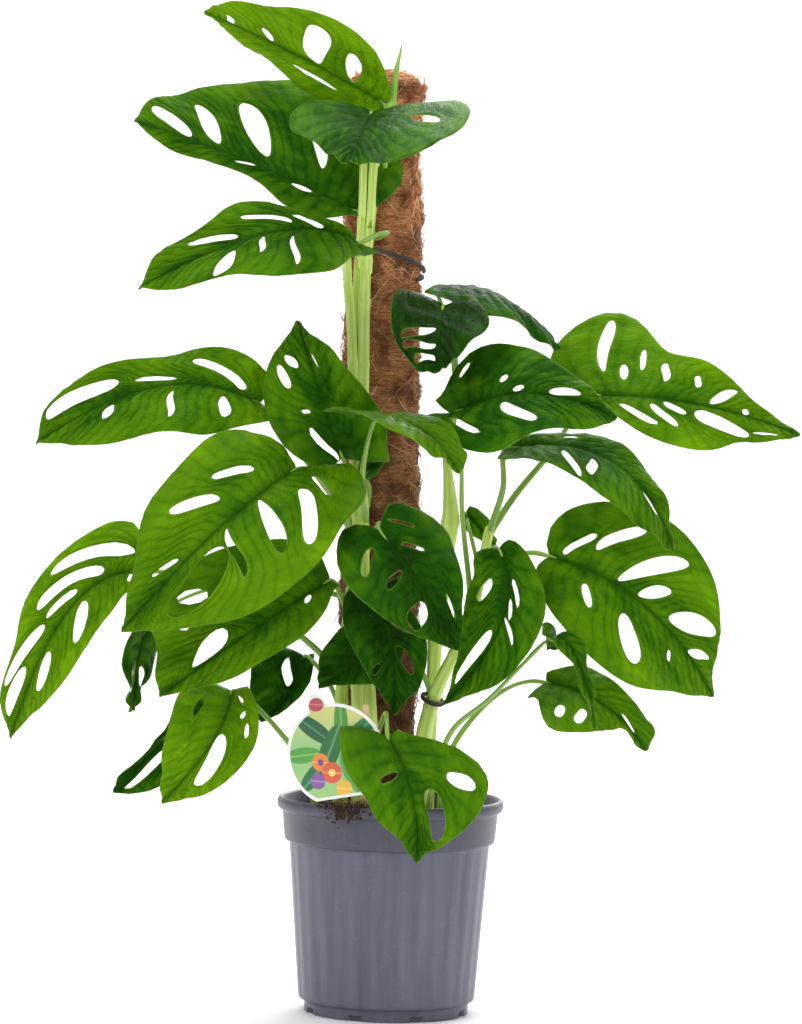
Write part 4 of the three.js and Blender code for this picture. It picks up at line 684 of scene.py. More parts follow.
def blade_sheet(leaf):
    """The open sheet of both halves: points, triangles, and what is known at
    each point. Points that fall together (the midrib, the tip, the lines'
    branches away from a hole) become one."""
    long = midrib(leaf)[1]
    veins = [vein_spots(holes, long) for holes in leaf["holes"]]
    places = {h[0] for half in leaf["holes"] for h in half}
    lines = mesh_lines({0.0, 1.0, *places}, np.concatenate(veins), long)
    cells, total = grid_triangles(len(lines), ROWS + 1), len(lines) * (ROWS + 1)
    # a cell starts on a far branch and ends on a near one
    line = cells // (ROWS + 1)
    cells = np.where(line == line.min(1, keepdims=True), cells + total, cells)
    points, known, triangles = [], [], []
    for side, holes in enumerate(leaf["holes"]):
        near, far, s = half_lines(holes, lines)
        for t in (near, far):
            at, about = branch(leaf, side, lines, veins[side], t, s)
            points.append(at)
            known.append(about)
        triangles.append((cells[:, ::-1] if side else cells) + 2 * total * side)
    points, known, triangles = np.concatenate(points), np.concatenate(known), np.concatenate(triangles)
    coarse = (points * 500).round().astype(int)  # to the nearest 1/500 mm
    _, first, same = np.unique(coarse, axis=0, return_index=True, return_inverse=True)
    triangles = same.ravel()[triangles]
    a, b, c = triangles.T
    return points[first], triangles[(a != b) & (b != c) & (c != a)], known[first]


print("the top leaf's sheet has", len(blade_sheet(TOP_LEAF)[0]), "points")

# %% [markdown]
# A Solidify modifier would give every leaf one thickness. A real blade thins
# out to its margin and to the edges of its holes, so the two faces are made
# here, and a wall of two triangles closes them along every free edge.

# %% From a sheet to a blade
def normals_of(points, triangles):
    """Each point's normal: the sum of its triangles' normals, larger
    triangles counting more."""
    a, b, c = (points[triangles[:, k]] for k in range(3))
    flat, total = np.cross(b - a, c - a), np.zeros_like(points)
    for k in range(3):
        np.add.at(total, triangles[:, k], flat)
    return unit(total)


def blade_part(leaf, seed):
    """The sheet, displaced along its normals, with its two faces half a
    thickness away on each side and a wall along every free edge."""
    points, triangles, known = blade_sheet(leaf)
    wrinkle = sum(high * ripple(points, size, seed + k) for k, (high, size) in enumerate((WRINKLE, BUCKLE)))
    out = known[:, 6] + wrinkle * smooth(0, 8, known[:, 4])
    points = points + normals_of(points, triangles) * out[:, None]
    thick = BLADE_THICK * (MARGIN_THIN + (1 - MARGIN_THIN) * smooth(0, 1.2, known[:, 5]))
    half = normals_of(points, triangles) * thick[:, None] / 2
    n = len(points)
    edges = np.concatenate([triangles[:, [0, 1]], triangles[:, [1, 2]], triangles[:, [2, 0]]])
    p, q = edges[~np.isin(edges @ [n, 1], edges @ [1, n])].T
    wall = np.concatenate([stack(p, p + n, q + n), stack(p, q + n, q)])
    faces = np.concatenate([triangles, triangles[:, ::-1] + n, wall])
    twice = np.concatenate([known, known])
    return part(np.concatenate([points + half, points - half]), faces, vein=twice[:, :3],
                place=stack(twice[:, 3], twice[:, 4], seed * 37.0), rim=twice[:, 5],
                under=np.repeat([0.0, 1.0], n), tone=leaf["tone"])


print("the top blade has", len(blade_part(TOP_LEAF, 1)["triangles"]), "triangles")

# %% [markdown]
# Materials are node trees. Written out link by link they are long, so a small
# class stands for what comes out of a node: adding, subtracting or multiplying
# two of them makes the Math node for it. Colours are written as they look on a
# screen and turned into the linear light that Blender works in.

# %% Node helpers
class Wire:
    """A node's output; +, - and * with another wire or a number add a Math node."""

    def __init__(self, socket):
        self.socket, self.tree = socket, socket.id_data

    def __add__(self, other):
        return maths("ADD", self, other)

    def __sub__(self, other):
        return maths("SUBTRACT", self, other)

    def __mul__(self, other):
        return maths("MULTIPLY", self, other)


def fill(socket, value):
    """Puts a wire or a plain value into a socket."""
    if isinstance(value, Wire):
        value.tree.links.new(value.socket, socket)
    else:
        socket.default_value = value


def feed(owner, **values):
    """Fills a node's sockets by name; an underscore stands for a space."""
    for key, value in values.items():
        fill(owner.inputs[key.replace("_", " ")], value)


def node(tree, kind, inputs=None, output=0, **settings):
    """Adds a node, sets its properties, fills its inputs, and gives one output."""
    made = tree.nodes.new("ShaderNode" + kind)
    for key, value in settings.items():
        setattr(made, key, value)
    for key, value in (inputs or {}).items():
        fill(made.inputs[key], value)
    return Wire(made.outputs[output])


def maths(operation, first, *others):
    """A Math node."""
    return node(first.tree, "Math", dict(enumerate((first, *others))), operation=operation)


def fade(value, low, high, to=(0.0, 1.0)):
    """A Map Range node with a soft S-shaped step from low to high."""
    ends = {"Value": value, "From Min": low, "From Max": high, "To Min": to[0], "To Max": to[1]}
    return node(value.tree, "MapRange", ends, interpolation_type="SMOOTHSTEP")


def paint(code):
    """A screen colour such as "5c9a2b" as linear red, green, blue and alpha."""
    shown = np.array([int(code[i : i + 2], 16) for i in (0, 2, 4)]) / 255
    return (*np.where(shown <= 0.04045, shown / 12.92, ((shown + 0.055) / 1.055) ** 2.4), 1.0)


def blend(share, a, b):
    """A colour Mix node from a to b; a screen colour may stand for b."""
    b = paint(b) if isinstance(b, str) else b
    return node(share.tree, "Mix", {0: share, 6: a, 7: b}, output=2, data_type="RGBA")


def ramp(value, *stops):
    """A Color Ramp through (place, colour) stops."""
    made = node(value.tree, "ValToRGB", {0: value})
    band = made.socket.node.color_ramp
    for element, (place, code) in zip(band.elements, (stops[0], stops[-1])):
        element.position, element.color = place, paint(code)
    for place, code in stops[1:-1]:
        band.elements.new(place).color = paint(code)
    return made


def noise(vector, scale, detail=2.0, rough=0.5):
    """A Noise Texture's value, 0 to 1."""
    settings = {"Vector": vector, "Scale": scale, "Detail": detail, "Roughness": rough}
    return node(vector.tree, "TexNoise", settings)


def mapped(vector, scale, turn=0.0):
    """A vector turned about Y and scaled by three numbers."""
    return node(vector.tree, "Mapping", {"Vector": vector, "Rotation": (0.0, turn, 0.0), "Scale": scale})


def split(vector):
    """The three numbers of a vector."""
    made = node(vector.tree, "SeparateXYZ", {0: vector})
    return [Wire(socket) for socket in made.socket.node.outputs]


def reads(tree, name, output="Fac"):
    """The value that the mesh stores under a name."""
    return node(tree, "Attribute", output=output, attribute_name=name)


def spot(tree):
    """The point's own place on the piece, in metres."""
    return node(tree, "TexCoord", output="Object")


print("leaf green in linear light:", [round(float(x), 3) for x in paint("5c9a2b")])

# %% [markdown]
# An effect that several materials share, such as dust or streaks, is a node
# group with named sockets: it is built once and placed with its own values. A
# material then holds one Principled BSDF, fed by groups and short node chains.

# %% Groups and materials
def group(name, inputs, outputs):
    """A shader group with its sockets; gives what comes in by name, and the
    node that takes what goes out. An input starts at its number, or is a
    vector if it has none; an output is a Float or a Color."""
    tree = bpy.data.node_groups.new(name, "ShaderNodeTree")
    for key, start in inputs.items():
        kind = "Float" if isinstance(start, float) else "Vector"
        socket = tree.interface.new_socket(key, in_out="INPUT", socket_type="NodeSocket" + kind)
        if start is not None:
            socket.default_value = start
    for key, kind in outputs.items():
        tree.interface.new_socket(key, in_out="OUTPUT", socket_type="NodeSocket" + kind)
    print("group", name, "takes", *inputs, "and gives", *outputs)
    given = tree.nodes.new("NodeGroupInput").outputs
    return {key: Wire(given[key]) for key in inputs}, tree.nodes.new("NodeGroupOutput")


def use(tree, group_name, **inputs):
    """Places a group in a tree and gives its outputs by name."""
    made = tree.nodes.new("ShaderNodeGroup")
    made.node_tree = bpy.data.node_groups[group_name]
    feed(made, **inputs)
    return {socket.name: Wire(socket) for socket in made.outputs}


def material(name, **surface):
    """A material with one Principled BSDF whose sockets are set from
    keywords; gives the material, its tree and the shader."""
    made = bpy.data.materials.new(name)
    made.use_nodes = True
    shader = made.node_tree.nodes["Principled BSDF"]
    feed(shader, **surface)
    print("material", name)
    return made, made.node_tree, shader


def bumped(shader, height, distance, strength=1.0):
    """Feeds a height in 0..1 through a Bump node, `distance` mm deep, into
    the shader's Normal."""
    bump = node(height.tree, "Bump", {"Height": height, "Distance": distance * MM, "Strength": strength})
    feed(shader, Normal=bump)
    return bump


def mixed(tree, share, shader, other):
    """Makes the surface a mix of the Principled shader and another one."""
    mix = node(tree, "MixShader", {0: share, 1: Wire(shader.outputs[0]), 2: other})
    feed(tree.nodes["Material Output"], Surface=mix)


# %% [markdown]
# The leaf tissue. One group reads what the mesh knows about each point (which
# vein it is near, how far out, how far from an edge, upper or under side, and
# the leaf's tone: its age, with painted light and shade) and gives the colour,
# the light that comes through, the gloss and the finest relief. Young leaves are
# yellow-green and old ones deep green. On the upper side the side veins are
# darker lines that fade outwards and the midrib is a dark line in a darker band,
# painted shade for their grooves. The margin and the holes' edges are pale,
# partly their own tissue and partly a painted highlight. The underside is dull
# and greyish, puckers raise the tissue between the veins and are painted lighter
# where they rise, and a net of tiny veins breaks up the shine.

# %% Leaf tissue group
GREENS = (0.0, "0b3502"), (0.3, "215f03"), (0.6, "568d04"), (0.85, "6b9f05"), (1.0, "7eb408")
GLOWS = (0.0, "2e6400"), (0.5, "6a9c04"), (1.0, "a0c80c")


def leaf_tissue():
    given, out = group("leaf_tissue", dict(Vein=None, Place=None, Rim=5.0, Under=0.0, Tone=0.5),
                       dict(Color="Color", Glow="Color", Roughness="Float", Height="Float"))
    count, outwards, _ = split(given["Vein"])
    from_rib = split(given["Place"])[1]
    blotch = noise(given["Place"], 0.028, 3)
    fine = noise(given["Place"], 0.22, 3, 0.6)
    pucker = noise(given["Place"], 0.1, 3, 0.55)
    # distance from the nearest side vein, 0 on it and 0.5 between two
    between = maths("PINGPONG", count, 0.5)
    line = fade(between, 0.0, 0.05, (1.0, 0.0))
    line = line * (fade(outwards, 0.5, 1.0, (1.0, 0.35)) * fade(blotch, 0.3, 0.7, (0.4, 1.0)))
    groove = fade(between, 0.02, 0.3, (1.0, 0.0))
    rib = fade(from_rib, 0.5, 1.9, (1.0, 0.0))
    hollow = fade(from_rib, 0.0, 9.0, (1.0, 0.0))
    # cross veins: wavy lines that run from one side vein to the next
    cross = maths("PINGPONG", from_rib * 0.42 + between * 2.6 + fine * 2.2, 0.5)
    cross = fade(cross, 0.0, 0.16, (1.0, 0.0))
    cells = {"Vector": given["Place"], "Scale": 0.55}
    net = node(blotch.tree, "TexVoronoi", cells, feature="DISTANCE_TO_EDGE")
    net = fade(net, 0.0, 0.09, (1.0, 0.0))
    # age and pale patches choose the green, with painted light and shade on top: lighter on raised puckers,
    # darker near the side veins' grooves
    age = given["Tone"] + (blotch - 0.5) * 0.95 + (pucker - 0.5) * 0.55
    age = age + (outwards - 0.55) * 0.22 - groove * 0.1
    # painted shade: darker within 9 mm of the midrib, in the hollow over it
    green = blend(hollow * 0.4, ramp(age, *GREENS), "164a05")
    green = blend(maths("MAXIMUM", cross, net) * 0.10, green, "6ea02a")
    # painted shade: the side veins drawn as dark lines for the grooves they lie in
    green = blend(line * 0.35, green, "1b4a06")
    # painted shade: the groove over the midrib drawn as a dark line
    green = blend(rib * 0.5, green, "1f5809")
    dull = ramp(blotch, (0.25, "5b802c"), (0.75, "7f9f48"))
    dull = blend(maths("MAXIMUM", line, rib) * 0.6, dull, "a9bf80")
    green = blend(given["Under"] * 0.72, green, dull)
    # pale margin and hole edges: partly their own paler tissue, partly a painted highlight
    green = blend(fade(given["Rim"], 0.2, 0.9, (1.0, 0.0)) * 0.42, green, "9cc255")
    height = fine * 0.7 - cross * 0.5 - net * 0.25 - line * 0.5
    feed(out, Color=green, Glow=ramp(age, *GLOWS), Roughness=fine * 0.16 + 0.34 + given["Under"] * 0.2,
         Height=height * 0.1 + pucker)


leaf_tissue()

# %% [markdown]
# Light shines through a leaf. A Translucent BSDF beside the Principled one, in
# a fixed share, lets the light from behind come out yellow-green in front, which
# is what makes the thin young leaves look lit from inside.

# %% Leaf blade material
THROUGH = 0.26  # share of the light that passes into the blade


def blade_material():
    made, tree, shader = material("leaf_blade", Specular_IOR_Level=0.11, Specular_Tint=(0.8, 1.0, 0.45, 1.0))
    known = {key.capitalize(): reads(tree, key, "Vector") for key in ("vein", "place")}
    known.update({key.capitalize(): reads(tree, key) for key in ("rim", "under", "tone")})
    tissue = use(tree, "leaf_tissue", **known)
    feed(shader, Base_Color=tissue["Color"], Roughness=tissue["Roughness"])
    bump = bumped(shader, tissue["Height"], 4.5)
    mixed(tree, THROUGH, shader, node(tree, "BsdfTranslucent", {"Color": tissue["Glow"], "Normal": bump}))
    return made


LEAF_BLADE = blade_material()

# %% [markdown]
# Stalks and stems have skin that runs lengthways: fine pale and dark streaks,
# and a soft shine. The same streaks suit wood, so they are a group: noise that
# is stretched along the piece's own length.

# %% Streak group and stalk materials
def streaks():
    given, out = group("streaks", dict(Along=None, Width=1.0, Length=12.0, Seed=0.0),
                       dict(Streak="Float", Blotch="Float", Height="Float"))
    far, turn, radius = split(given["Along"])
    angle, reach = turn * TURN, maths("DIVIDE", radius, given["Width"])
    x, y = (maths(way, angle) * reach for way in ("COSINE", "SINE"))
    z = maths("DIVIDE", far, given["Length"]) + given["Seed"]
    where = node(far.tree, "CombineXYZ", {0: x, 1: y, 2: z})
    streak, slow = noise(where, 1.0, 3, 0.55), noise(where, 0.3, 2)
    feed(out, Streak=streak, Blotch=slow, Height=streak * 0.8 + slow * 0.2)


streaks()


def stalk_material(name, dark, mid, pale, rough=0.4, length=18.0, width=1.1):
    """Skin with lengthways streaks; the groove on the top side is darker, as painted shade."""
    made, tree, shader = material(name, Coat_Weight=0.1, Coat_Roughness=0.3)
    along = reads(tree, "along", "Vector")
    skin = use(tree, "streaks", Along=along, Width=width, Length=length)
    color = ramp(skin["Streak"] * 0.7 + skin["Blotch"] * 0.45, (0.3, dark), (0.58, mid), (0.85, pale))
    from_top = maths("ABSOLUTE", split(along)[1] - 0.25)
    # painted shade: the groove on the top side is darkened towards the dark colour
    color = blend(fade(from_top, 0.02, 0.09, (0.5, 0.0)), color, dark)
    feed(shader, Base_Color=color, Roughness=skin["Streak"] * 0.2 + (rough - 0.1))
    bumped(shader, skin["Height"], 0.25, 0.6)
    return made


LEAF_STALK = stalk_material("leaf_stalk", "5f8a2a", "8fb548", "b3cf76")

# %% [markdown]
# A stalk is round with a groove on its upper side, widens into a sheath where
# it leaves the stem, and has a swollen knuckle just before the blade, where the
# leaf turns to the light. It runs on under the blade as the midrib's rib.

# %% Grow the leaves
def stalk_parts(leaf):
    """The stalk's tube, whose radius eases from the sheath to the blade with a
    Gaussian swelling for the knuckle, and the rib's tube under the midrib."""
    at, long = midrib(leaf)
    thick, face = leaf["thick"], np.array(leaf["face"], float)
    end, under = at(np.array([min(0.2, 12 / long)]))[0][0], -thick * unit(face)
    path = smooth_path([*leaf["stalk"], leaf["base"] + 0.5 * under, end + 1.15 * under], 44)
    q, length = np.linspace(0, 1, len(path)), distances(path)[-1]
    knuckle = 0.28 * np.exp(-((((q - 1) * length + 19) / 6) ** 2))  # 19 mm before the end
    radius = thick * np.interp(q, [0, 0.12, 0.5, 1], [1.35, 1.12, 1, 0.55]) * (1 + knuckle)
    groove = 0.32 * smooth(0.02, 0.15, q) * (1 - smooth(0.8, 0.95, q))
    t = np.linspace(0.01, 0.97, 40)
    spine, ahead = at(t)
    rib = thick * (0.12 + 0.4 * (1 - t) ** 1.3)
    sunk = RIB_GROOVE * (1 - 0.6 * t) + 0.9 * rib
    spine = spine - across_and_up(ahead, face)[1] * sunk[:, None]
    return sweep(path, radius, 12, face, groove, material=1), sweep(spine, rib, 8, face, material=1)


for number, (name, leaf) in enumerate(LEAVES.items(), 1):
    parts = [blade_part(leaf, number), *stalk_parts(leaf)]
    piece(name + "_grown", parts, [LEAF_BLADE, LEAF_STALK], [name])

# %% [markdown]
# The main stem climbs the front of the pole as a bundle: two thick strands with
# a hollow between them, and a thinner one beside them. Near the top two more
# leave the pole and pass in front of a leaf. A second stem swings out to the
# right, and two short ones stand at the pole's sides. Each is a swept tube with
# a groove, and a raised ring, a node, every few centimetres, where a leaf once
# grew or still grows.

# %% Stem routes
STRANDS = [  # route in mm, and the radius at even steps from the bottom up
    ([(-24, -39, 126), (-24, -38, 200), (-27, -32, 260), (-30, -28, 330), (-31, -25, 430), (-33, -24.5, 500),
      (-33.5, -24.5, 550), (-30.6, -26, 600), (-29.4, -28, 652)], (5.6, 5.2, 2.6, 2.6, 2.8, 3.0)),
    ([(-14, -39, 126), (-15, -37, 200), (-19, -31, 260), (-23, -27, 330), (-26.6, -27, 430),
      (-27.6, -27, 500), (-27.2, -27, 560), (-23.2, -26.5, 610), (-21.4, -28, 652)],
     (6.0, 5.6, 3.8, 4.3, 4.7, 4.2, 3.5)),
    ([(-30.6, -26, 556), (-31, -33, 574), (-31, -43, 589), (-30.6, -49.5, 603), (-30.4, -51.5, 620),
      (-30.2, -51.5, 640), (-29, -50, 658)], (2.4, 3.2, 3.1, 3.1, 3.0)),
    ([(-25, -27, 552), (-25.4, -33, 573), (-24.6, -43, 588), (-24, -50, 602), (-23.6, -52, 620),
      (-22.6, -53, 642), (-22.4, -53, 660)], (2.8, 3.5, 3.2, 3.4, 3.9)),
    ([(-30, -22, 330), (-33, -27, 430), (-34.8, -30, 480), (-37.4, -31, 520), (-40.4, -31, 548),
      (-41.5, -34, 568)], (3.2, 3.6, 3.7, 3.4)),
]
STEMS = {
    "stem_right": ([(20, -30, 122), (22.5, -32, 200), (27, -34, 228), (36, -42, 255), (50, -52, 285),
                    (60, -52, 320), (66, -48, 352), (69, -45, 370)], (7.6, 8.2, 7, 5.6, 4.7, 4.5, 4.4, 3.2)),
    "stem_side": ([(28, -8, 122), (29, -8, 220), (32, -12, 300), (37, -20, 350), (40, -25, 372),
                   (38, -27, 400), (35, -27, 424)], (4.5, 4.5, 4.6, 5.2, 7.4, 6.6, 2.0)),
    "stem_left": ([(-38, -24, 122), (-37, -24, 200), (-38, -22, 240), (-36, -18, 290), (-34, -17, 322)],
                  (6, 6, 5, 4.5, 2.5)),
}
NODE_STEP, NODE_HEIGHT = 46, 0.13  # mm between rings, and their height as a share of the radius
NODE_HALF = 2.2  # mm, half width of a ring

STEM_SKIN = stalk_material("stem_skin", "aace50", "d6ee7a", "f2f9ba", 0.38, 34.0, 2.4)


def eased(values, count):
    """Values at even steps along a piece, filled in with straight lines."""
    return np.interp(np.linspace(0, 1, count), np.linspace(0, 1, len(values)), values)


def stem_tube(route, radii, groove=0.22, first=20.0):
    """A sweep whose radius runs through the given values, with a narrow
    Gaussian ring at every node, a little unevenness, and two closed ends."""
    count = max(40, int(distances(np.array(route, float))[-1] / 2.5))
    path = smooth_path(route, count)
    far = distances(path)
    off = (far - first + NODE_STEP / 2) % NODE_STEP - NODE_STEP / 2
    ring = np.exp(-((off / NODE_HALF) ** 2))
    radius = eased(radii, count) * (1 + NODE_HEIGHT * ring + 0.03 * ripple(path, 26, 5))
    end = smooth(0, 3, far) * smooth(0, 3, far[-1] - far)
    return sweep(path, radius * (0.45 + 0.55 * end), 18, (0.15, -1, 0), groove * (1 - ring))


bundle = [stem_tube(route, radii, 0.3, 30 + 9 * k) for k, (route, radii) in enumerate(STRANDS)]
piece("stem_front_bundle", bundle, [STEM_SKIN], ["stem_front"])
for name, (route, radii) in STEMS.items():
    piece(name + "_grown", [stem_tube(route, radii)], [STEM_SKIN], [name])

# %% [markdown]
# The newest leaf is still rolled up: a pale tapering spike with the roll's edge
# running up it. Its profile is a spiral that steps in where the edge lies over
# the turn below.

# %% New leaf spike
SPIKE, SPIKE_RADII = [(-15, -26, 632), (-11, -28, 676), (-8, -26, 702), (-4, -22, 724)], (2.4, 4.6, 3.0, 0.5)
YOUNG_LEAF = stalk_material("young_leaf", "5d9a22", "86b93c", "b3d36a", 0.36, 40.0)


def rolled_leaf(route, radii, rows=60, sides=28):
    """Rings whose radius falls by a quarter over one turn, so that the last
    point steps in under the first; the step winds slowly round the spike."""
    path, radius = smooth_path(route, rows), eased(radii, rows)[:, None]
    q = np.linspace(0, 1, rows)[:, None]
    turn = np.append(around(sides), TURN - 0.05)
    spiral = np.append(1 - 0.24 * around(sides) / TURN, 0.84)
    points = rings(path, *path_frames(path, (0, -1, 0)), radius * spiral, turn + 1.9 + 1.3 * q)
    points = np.concatenate([points.reshape(-1, 3), path[:1], path[-1:]])
    along = stack(q * 96, turn / TURN, radius).reshape(-1, 3)
    along = np.concatenate([along, along[:1], along[-1:]])
    return part(points, tube_triangles(rows, sides + 1)[:, ::-1], along=along)


piece("new_leaf_rolled", [rolled_leaf(SPIKE, SPIKE_RADII)], [YOUNG_LEAF], ["new_leaf_spike"])

# %% [markdown]
# The pole is a stick wrapped in a thick sleeve of coconut fibre: a felt of
# curly brown hairs, with single stiff straws crossing it and loose ends
# standing out along its outline. Hair particles would do this in a film, but
# they can't be handed on as a mesh. So the felt is a lumpy turned surface, and
# the hairs are thousands of short three-sided tubes, worked out together as one
# array of paths. Each has only a few dozen faces.

# %% Coir felt
POLE_X, POLE_Y, POLE_RADIUS, POLE_FOOT, POLE_TOP, CROWN = -8, 10, 28.2, 126, 703, 14
POLE_LEAN = math.radians(-0.7)
COIR_LUMP = 3.2  # mm


def lean(points):
    """The pole leans a little to the left: a turn about the line through the
    pot's foot from front to back."""
    c, s = math.cos(POLE_LEAN), math.sin(POLE_LEAN)
    return points @ np.array([[c, 0, -s], [0, 1, 0], [s, 0, c]])


def lathe(profile, segments, shift=None, centre=(0, 0)):
    """A profile of (radius, height) points turned about an upright line; its
    first and last points lie on the axis and close it. `shift` moves the
    rings' points outwards."""
    profile, turn = np.asarray(profile, float), around(segments)
    radius, height = profile[1:-1, :1], profile[1:-1, 1:]
    if shift:
        radius = radius + shift(turn, radius, height)
    points = stack(centre[0] + radius * np.cos(turn), centre[1] + radius * np.sin(turn), height)
    ends = [[*centre, profile[0, 1]], [*centre, profile[-1, 1]]]
    points = np.concatenate([points.reshape(-1, 3), ends])
    return part(points, tube_triangles(len(profile) - 2, segments))


def coir_height(rho):
    """The crown's height above the sleeve's shoulder at a distance rho from
    the axis: a quarter ellipse at the rim, nearly flat in the middle."""
    inwards = np.maximum(rho - (POLE_RADIUS - CROWN), 0) / CROWN
    return CROWN * np.sqrt(np.clip(1 - inwards**2, 0, 1))


def coir_lump(points):
    """How far the sleeve stands out or in at a point: lumps of two sizes."""
    return COIR_LUMP * (ripple(points, 24, 3) + 0.45 * ripple(points, 9, 4)) - 0.9


def felt_part():
    """The sleeve: a straight side and a rounded crown, with lumps."""
    side = stack(POLE_RADIUS, np.linspace(POLE_FOOT, POLE_TOP - CROWN, 150))
    rho = POLE_RADIUS - CROWN * (1 - np.cos(np.linspace(0, math.pi / 2, 9)[1:]))
    crown = stack(rho, POLE_TOP - CROWN + coir_height(rho))
    flat = stack(np.linspace(12, 0, 5), POLE_TOP)
    made = lathe(np.concatenate([[[0, POLE_FOOT]], side, crown, flat]), 96, None, (POLE_X, POLE_Y))
    points = made["points"]
    out = (points - (POLE_X, POLE_Y, 0)) * (1, 1, 0)
    lump = coir_lump(points) * smooth(0, 8, np.linalg.norm(out, axis=1))
    made["points"] = lean(points + unit(out) * lump[:, None])
    return made


# %% [markdown]
# A hair needs a path, a thickness and a colour. Paths are made on the pole's
# own skin: a start, a direction and a length give points (angle, height), a
# bow and a curl make them uneven, and a lift takes them off the surface, most
# at a loose end. Then all tubes are built at once: at each path point, three
# corners round it.

# %% Hairs
Q = np.linspace(0, 1, 8)  # how far along a hair each of its points is


def draws(low, high, count):
    """A column of random numbers, one for each hair."""
    return rng.uniform(low, high, (count, 1))


def hair_part(paths, thick, shade, away, material=0):
    """Three-sided tubes along paths (hairs x points x 3), closed to a point
    at both ends, of random thickness and shade within the given pairs. `away`
    is the direction that the first corner takes."""
    count, steps = paths.shape[:2]
    thick, shade = rng.uniform(*thick, count), rng.uniform(*shade, count)
    ahead = unit(np.gradient(paths, axis=1))
    first = unit(away - ahead * (away * ahead).sum(-1, keepdims=True))
    second = np.cross(ahead, first)
    radius = (thick[:, None] * (1 - 0.5 * abs(2 * Q - 1) ** 3))[:, 1:-1, None, None]
    turn = around(3)[:, None]
    ring = np.cos(turn) * first[:, 1:-1, None] + np.sin(turn) * second[:, 1:-1, None]
    corners = (paths[:, 1:-1, None] + radius * ring).reshape(count, -1, 3)
    points = np.concatenate([corners, paths[:, :1], paths[:, -1:]], 1)
    each = points.shape[1]
    triangles = copies(tube_triangles(steps - 2, 3), count, each)
    return part(points, triangles, material, shade=np.repeat(shade, each))


def side_hairs(count, lengths, steepness, lift, loose, thick, shade):
    """Hairs on the sleeve's side: angle = start + sideways run / radius,
    height = start + upright run, both with a bow; the lift grows as Q^2.2
    towards a loose end."""
    angle, height = draws(0, TURN, count), draws(POLE_FOOT + 8, POLE_TOP - 6, count)
    length, slope = draws(*lengths, count), np.radians(draws(*steepness, count))
    slope = slope * rng.choice([-1, 1], (count, 1))
    bow, curl = draws(-0.35, 0.35, count), draws(-1, 1, count)
    run, bend = length * (Q - 0.5), bow * length * (Q - Q * Q)
    across = run * np.cos(slope) + bend * 2 + curl * np.sin(TURN * Q + curl * 3)
    upward = run * np.sin(slope) + bend * np.cos(slope * 2)
    free = (rng.random((count, 1)) < loose) * draws(3, 9, count)
    turn = angle + across / POLE_RADIUS
    way = stack(np.cos(turn), np.sin(turn), 0.0)
    height = np.clip(height + upward, POLE_FOOT + 2, POLE_TOP - 2)
    skin = stack(POLE_X + POLE_RADIUS * way[..., 0], POLE_Y + POLE_RADIUS * way[..., 1], height)
    out = coir_lump(skin) + draws(0.0, lift, count) + 0.7 * np.sin(math.pi * Q) * draws(0, 1, count)
    paths = skin + (out + free * Q**2.2)[..., None] * way
    return hair_part(lean(paths), thick, shade, way)


def crown_hairs(count):
    """Hairs coiled on the crown: arcs about the axis at a distance rho, laid
    on the crown's height."""
    rho = (POLE_RADIUS - 0.5) * np.sqrt(draws(0.02, 1, count)) + draws(-2, 2, count) * (Q - 0.5)
    rho = np.clip(rho, 2, POLE_RADIUS)
    turn = draws(0, TURN, count) + draws(16, 42, count) * Q / np.maximum(rho, 9)
    lift = draws(0, 1.6, count) + (rng.random((count, 1)) < 0.12) * 4 * Q**2
    out, height = rho + 0.5 * lift, POLE_TOP - CROWN + coir_height(rho) + lift - 0.4
    paths = stack(POLE_X + out * np.cos(turn), POLE_Y + out * np.sin(turn), height)
    return hair_part(lean(paths), (0.22, 0.42), (0.2, 0.85), UP)


# %% [markdown]
# Coir is red-brown where it is dry and nearly black where it has drawn water
# up from the pot. That darkening runs on nearly to the pole's top, where it is
# painted shade under the leaves, and darker patches are painted shade for the
# felt's hollows. Each hair has its own shade, which its mesh stores, and the
# felt under the hairs has a darker brown with a woven-looking relief.

# %% Coir materials
def painted_shade_and_damp(color, where):
    """Fibre is darker in noise patches, painted shade for its hollows, and in a
    slow fade from the top of the pot upwards, partly wet fibre and partly painted
    shade under the leaves."""
    # painted shade: darker patches for the hollows in the felt
    clump_shade = fade(noise(where, 60.0, 2), 0.36, 0.56, (0.55, 0.0))
    # darker from the pot up to near the pole's top: wet fibre low down, painted shade under the leaves higher
    # up
    low = fade(split(where)[2], 0.2, 0.66, (0.66, 0.0))
    return blend(low, blend(clump_shade, color, "55290f"), "2e1a0d")


def coir_felt_material():
    """Dark felt: noise stretched both ways round the pole, so it looks like
    crossing hairs even between the modelled ones."""
    made, tree, shader = material("coir_felt", Roughness=0.95)
    where = spot(tree)
    layers = [noise(mapped(where, (90, 90, 1100), turn), 1.0, 4, 0.65) for turn in (0.7, -0.7)]
    hairs = maths("MAXIMUM", *layers)
    color = ramp(hairs, (0.36, "733c1f"), (0.5, "b87343"), (0.66, "e6b07a"))
    feed(shader, Base_Color=painted_shade_and_damp(color, where))
    bumped(shader, hairs, 1.6)
    return made


def hair_material(name, *stops):
    """Hair colour from each hair's own shade, uneven along it."""
    made, tree, shader = material(name, Roughness=0.62, Specular_IOR_Level=0.4)
    where = spot(tree)
    shade = reads(tree, "shade") + (noise(where, 260.0, 2) - 0.5) * 0.5
    feed(shader, Base_Color=painted_shade_and_damp(ramp(shade, *stops), where))
    return made


COIR_FELT = coir_felt_material()
COIR_HAIR = hair_material("coir_hair", (0.0, "8e4a26"), (0.35, "d07c46"), (0.7, "eda871"), (1.0, "ffd8a8"))

# %% [markdown]
# The sleeve is one felt, short hairs in all directions, fewer long straws that
# cross them steeply, and hairs coiled on the crown. The felt takes the place of
# the CAD model's sleeve, and the hairs lie on it as a piece of their own.

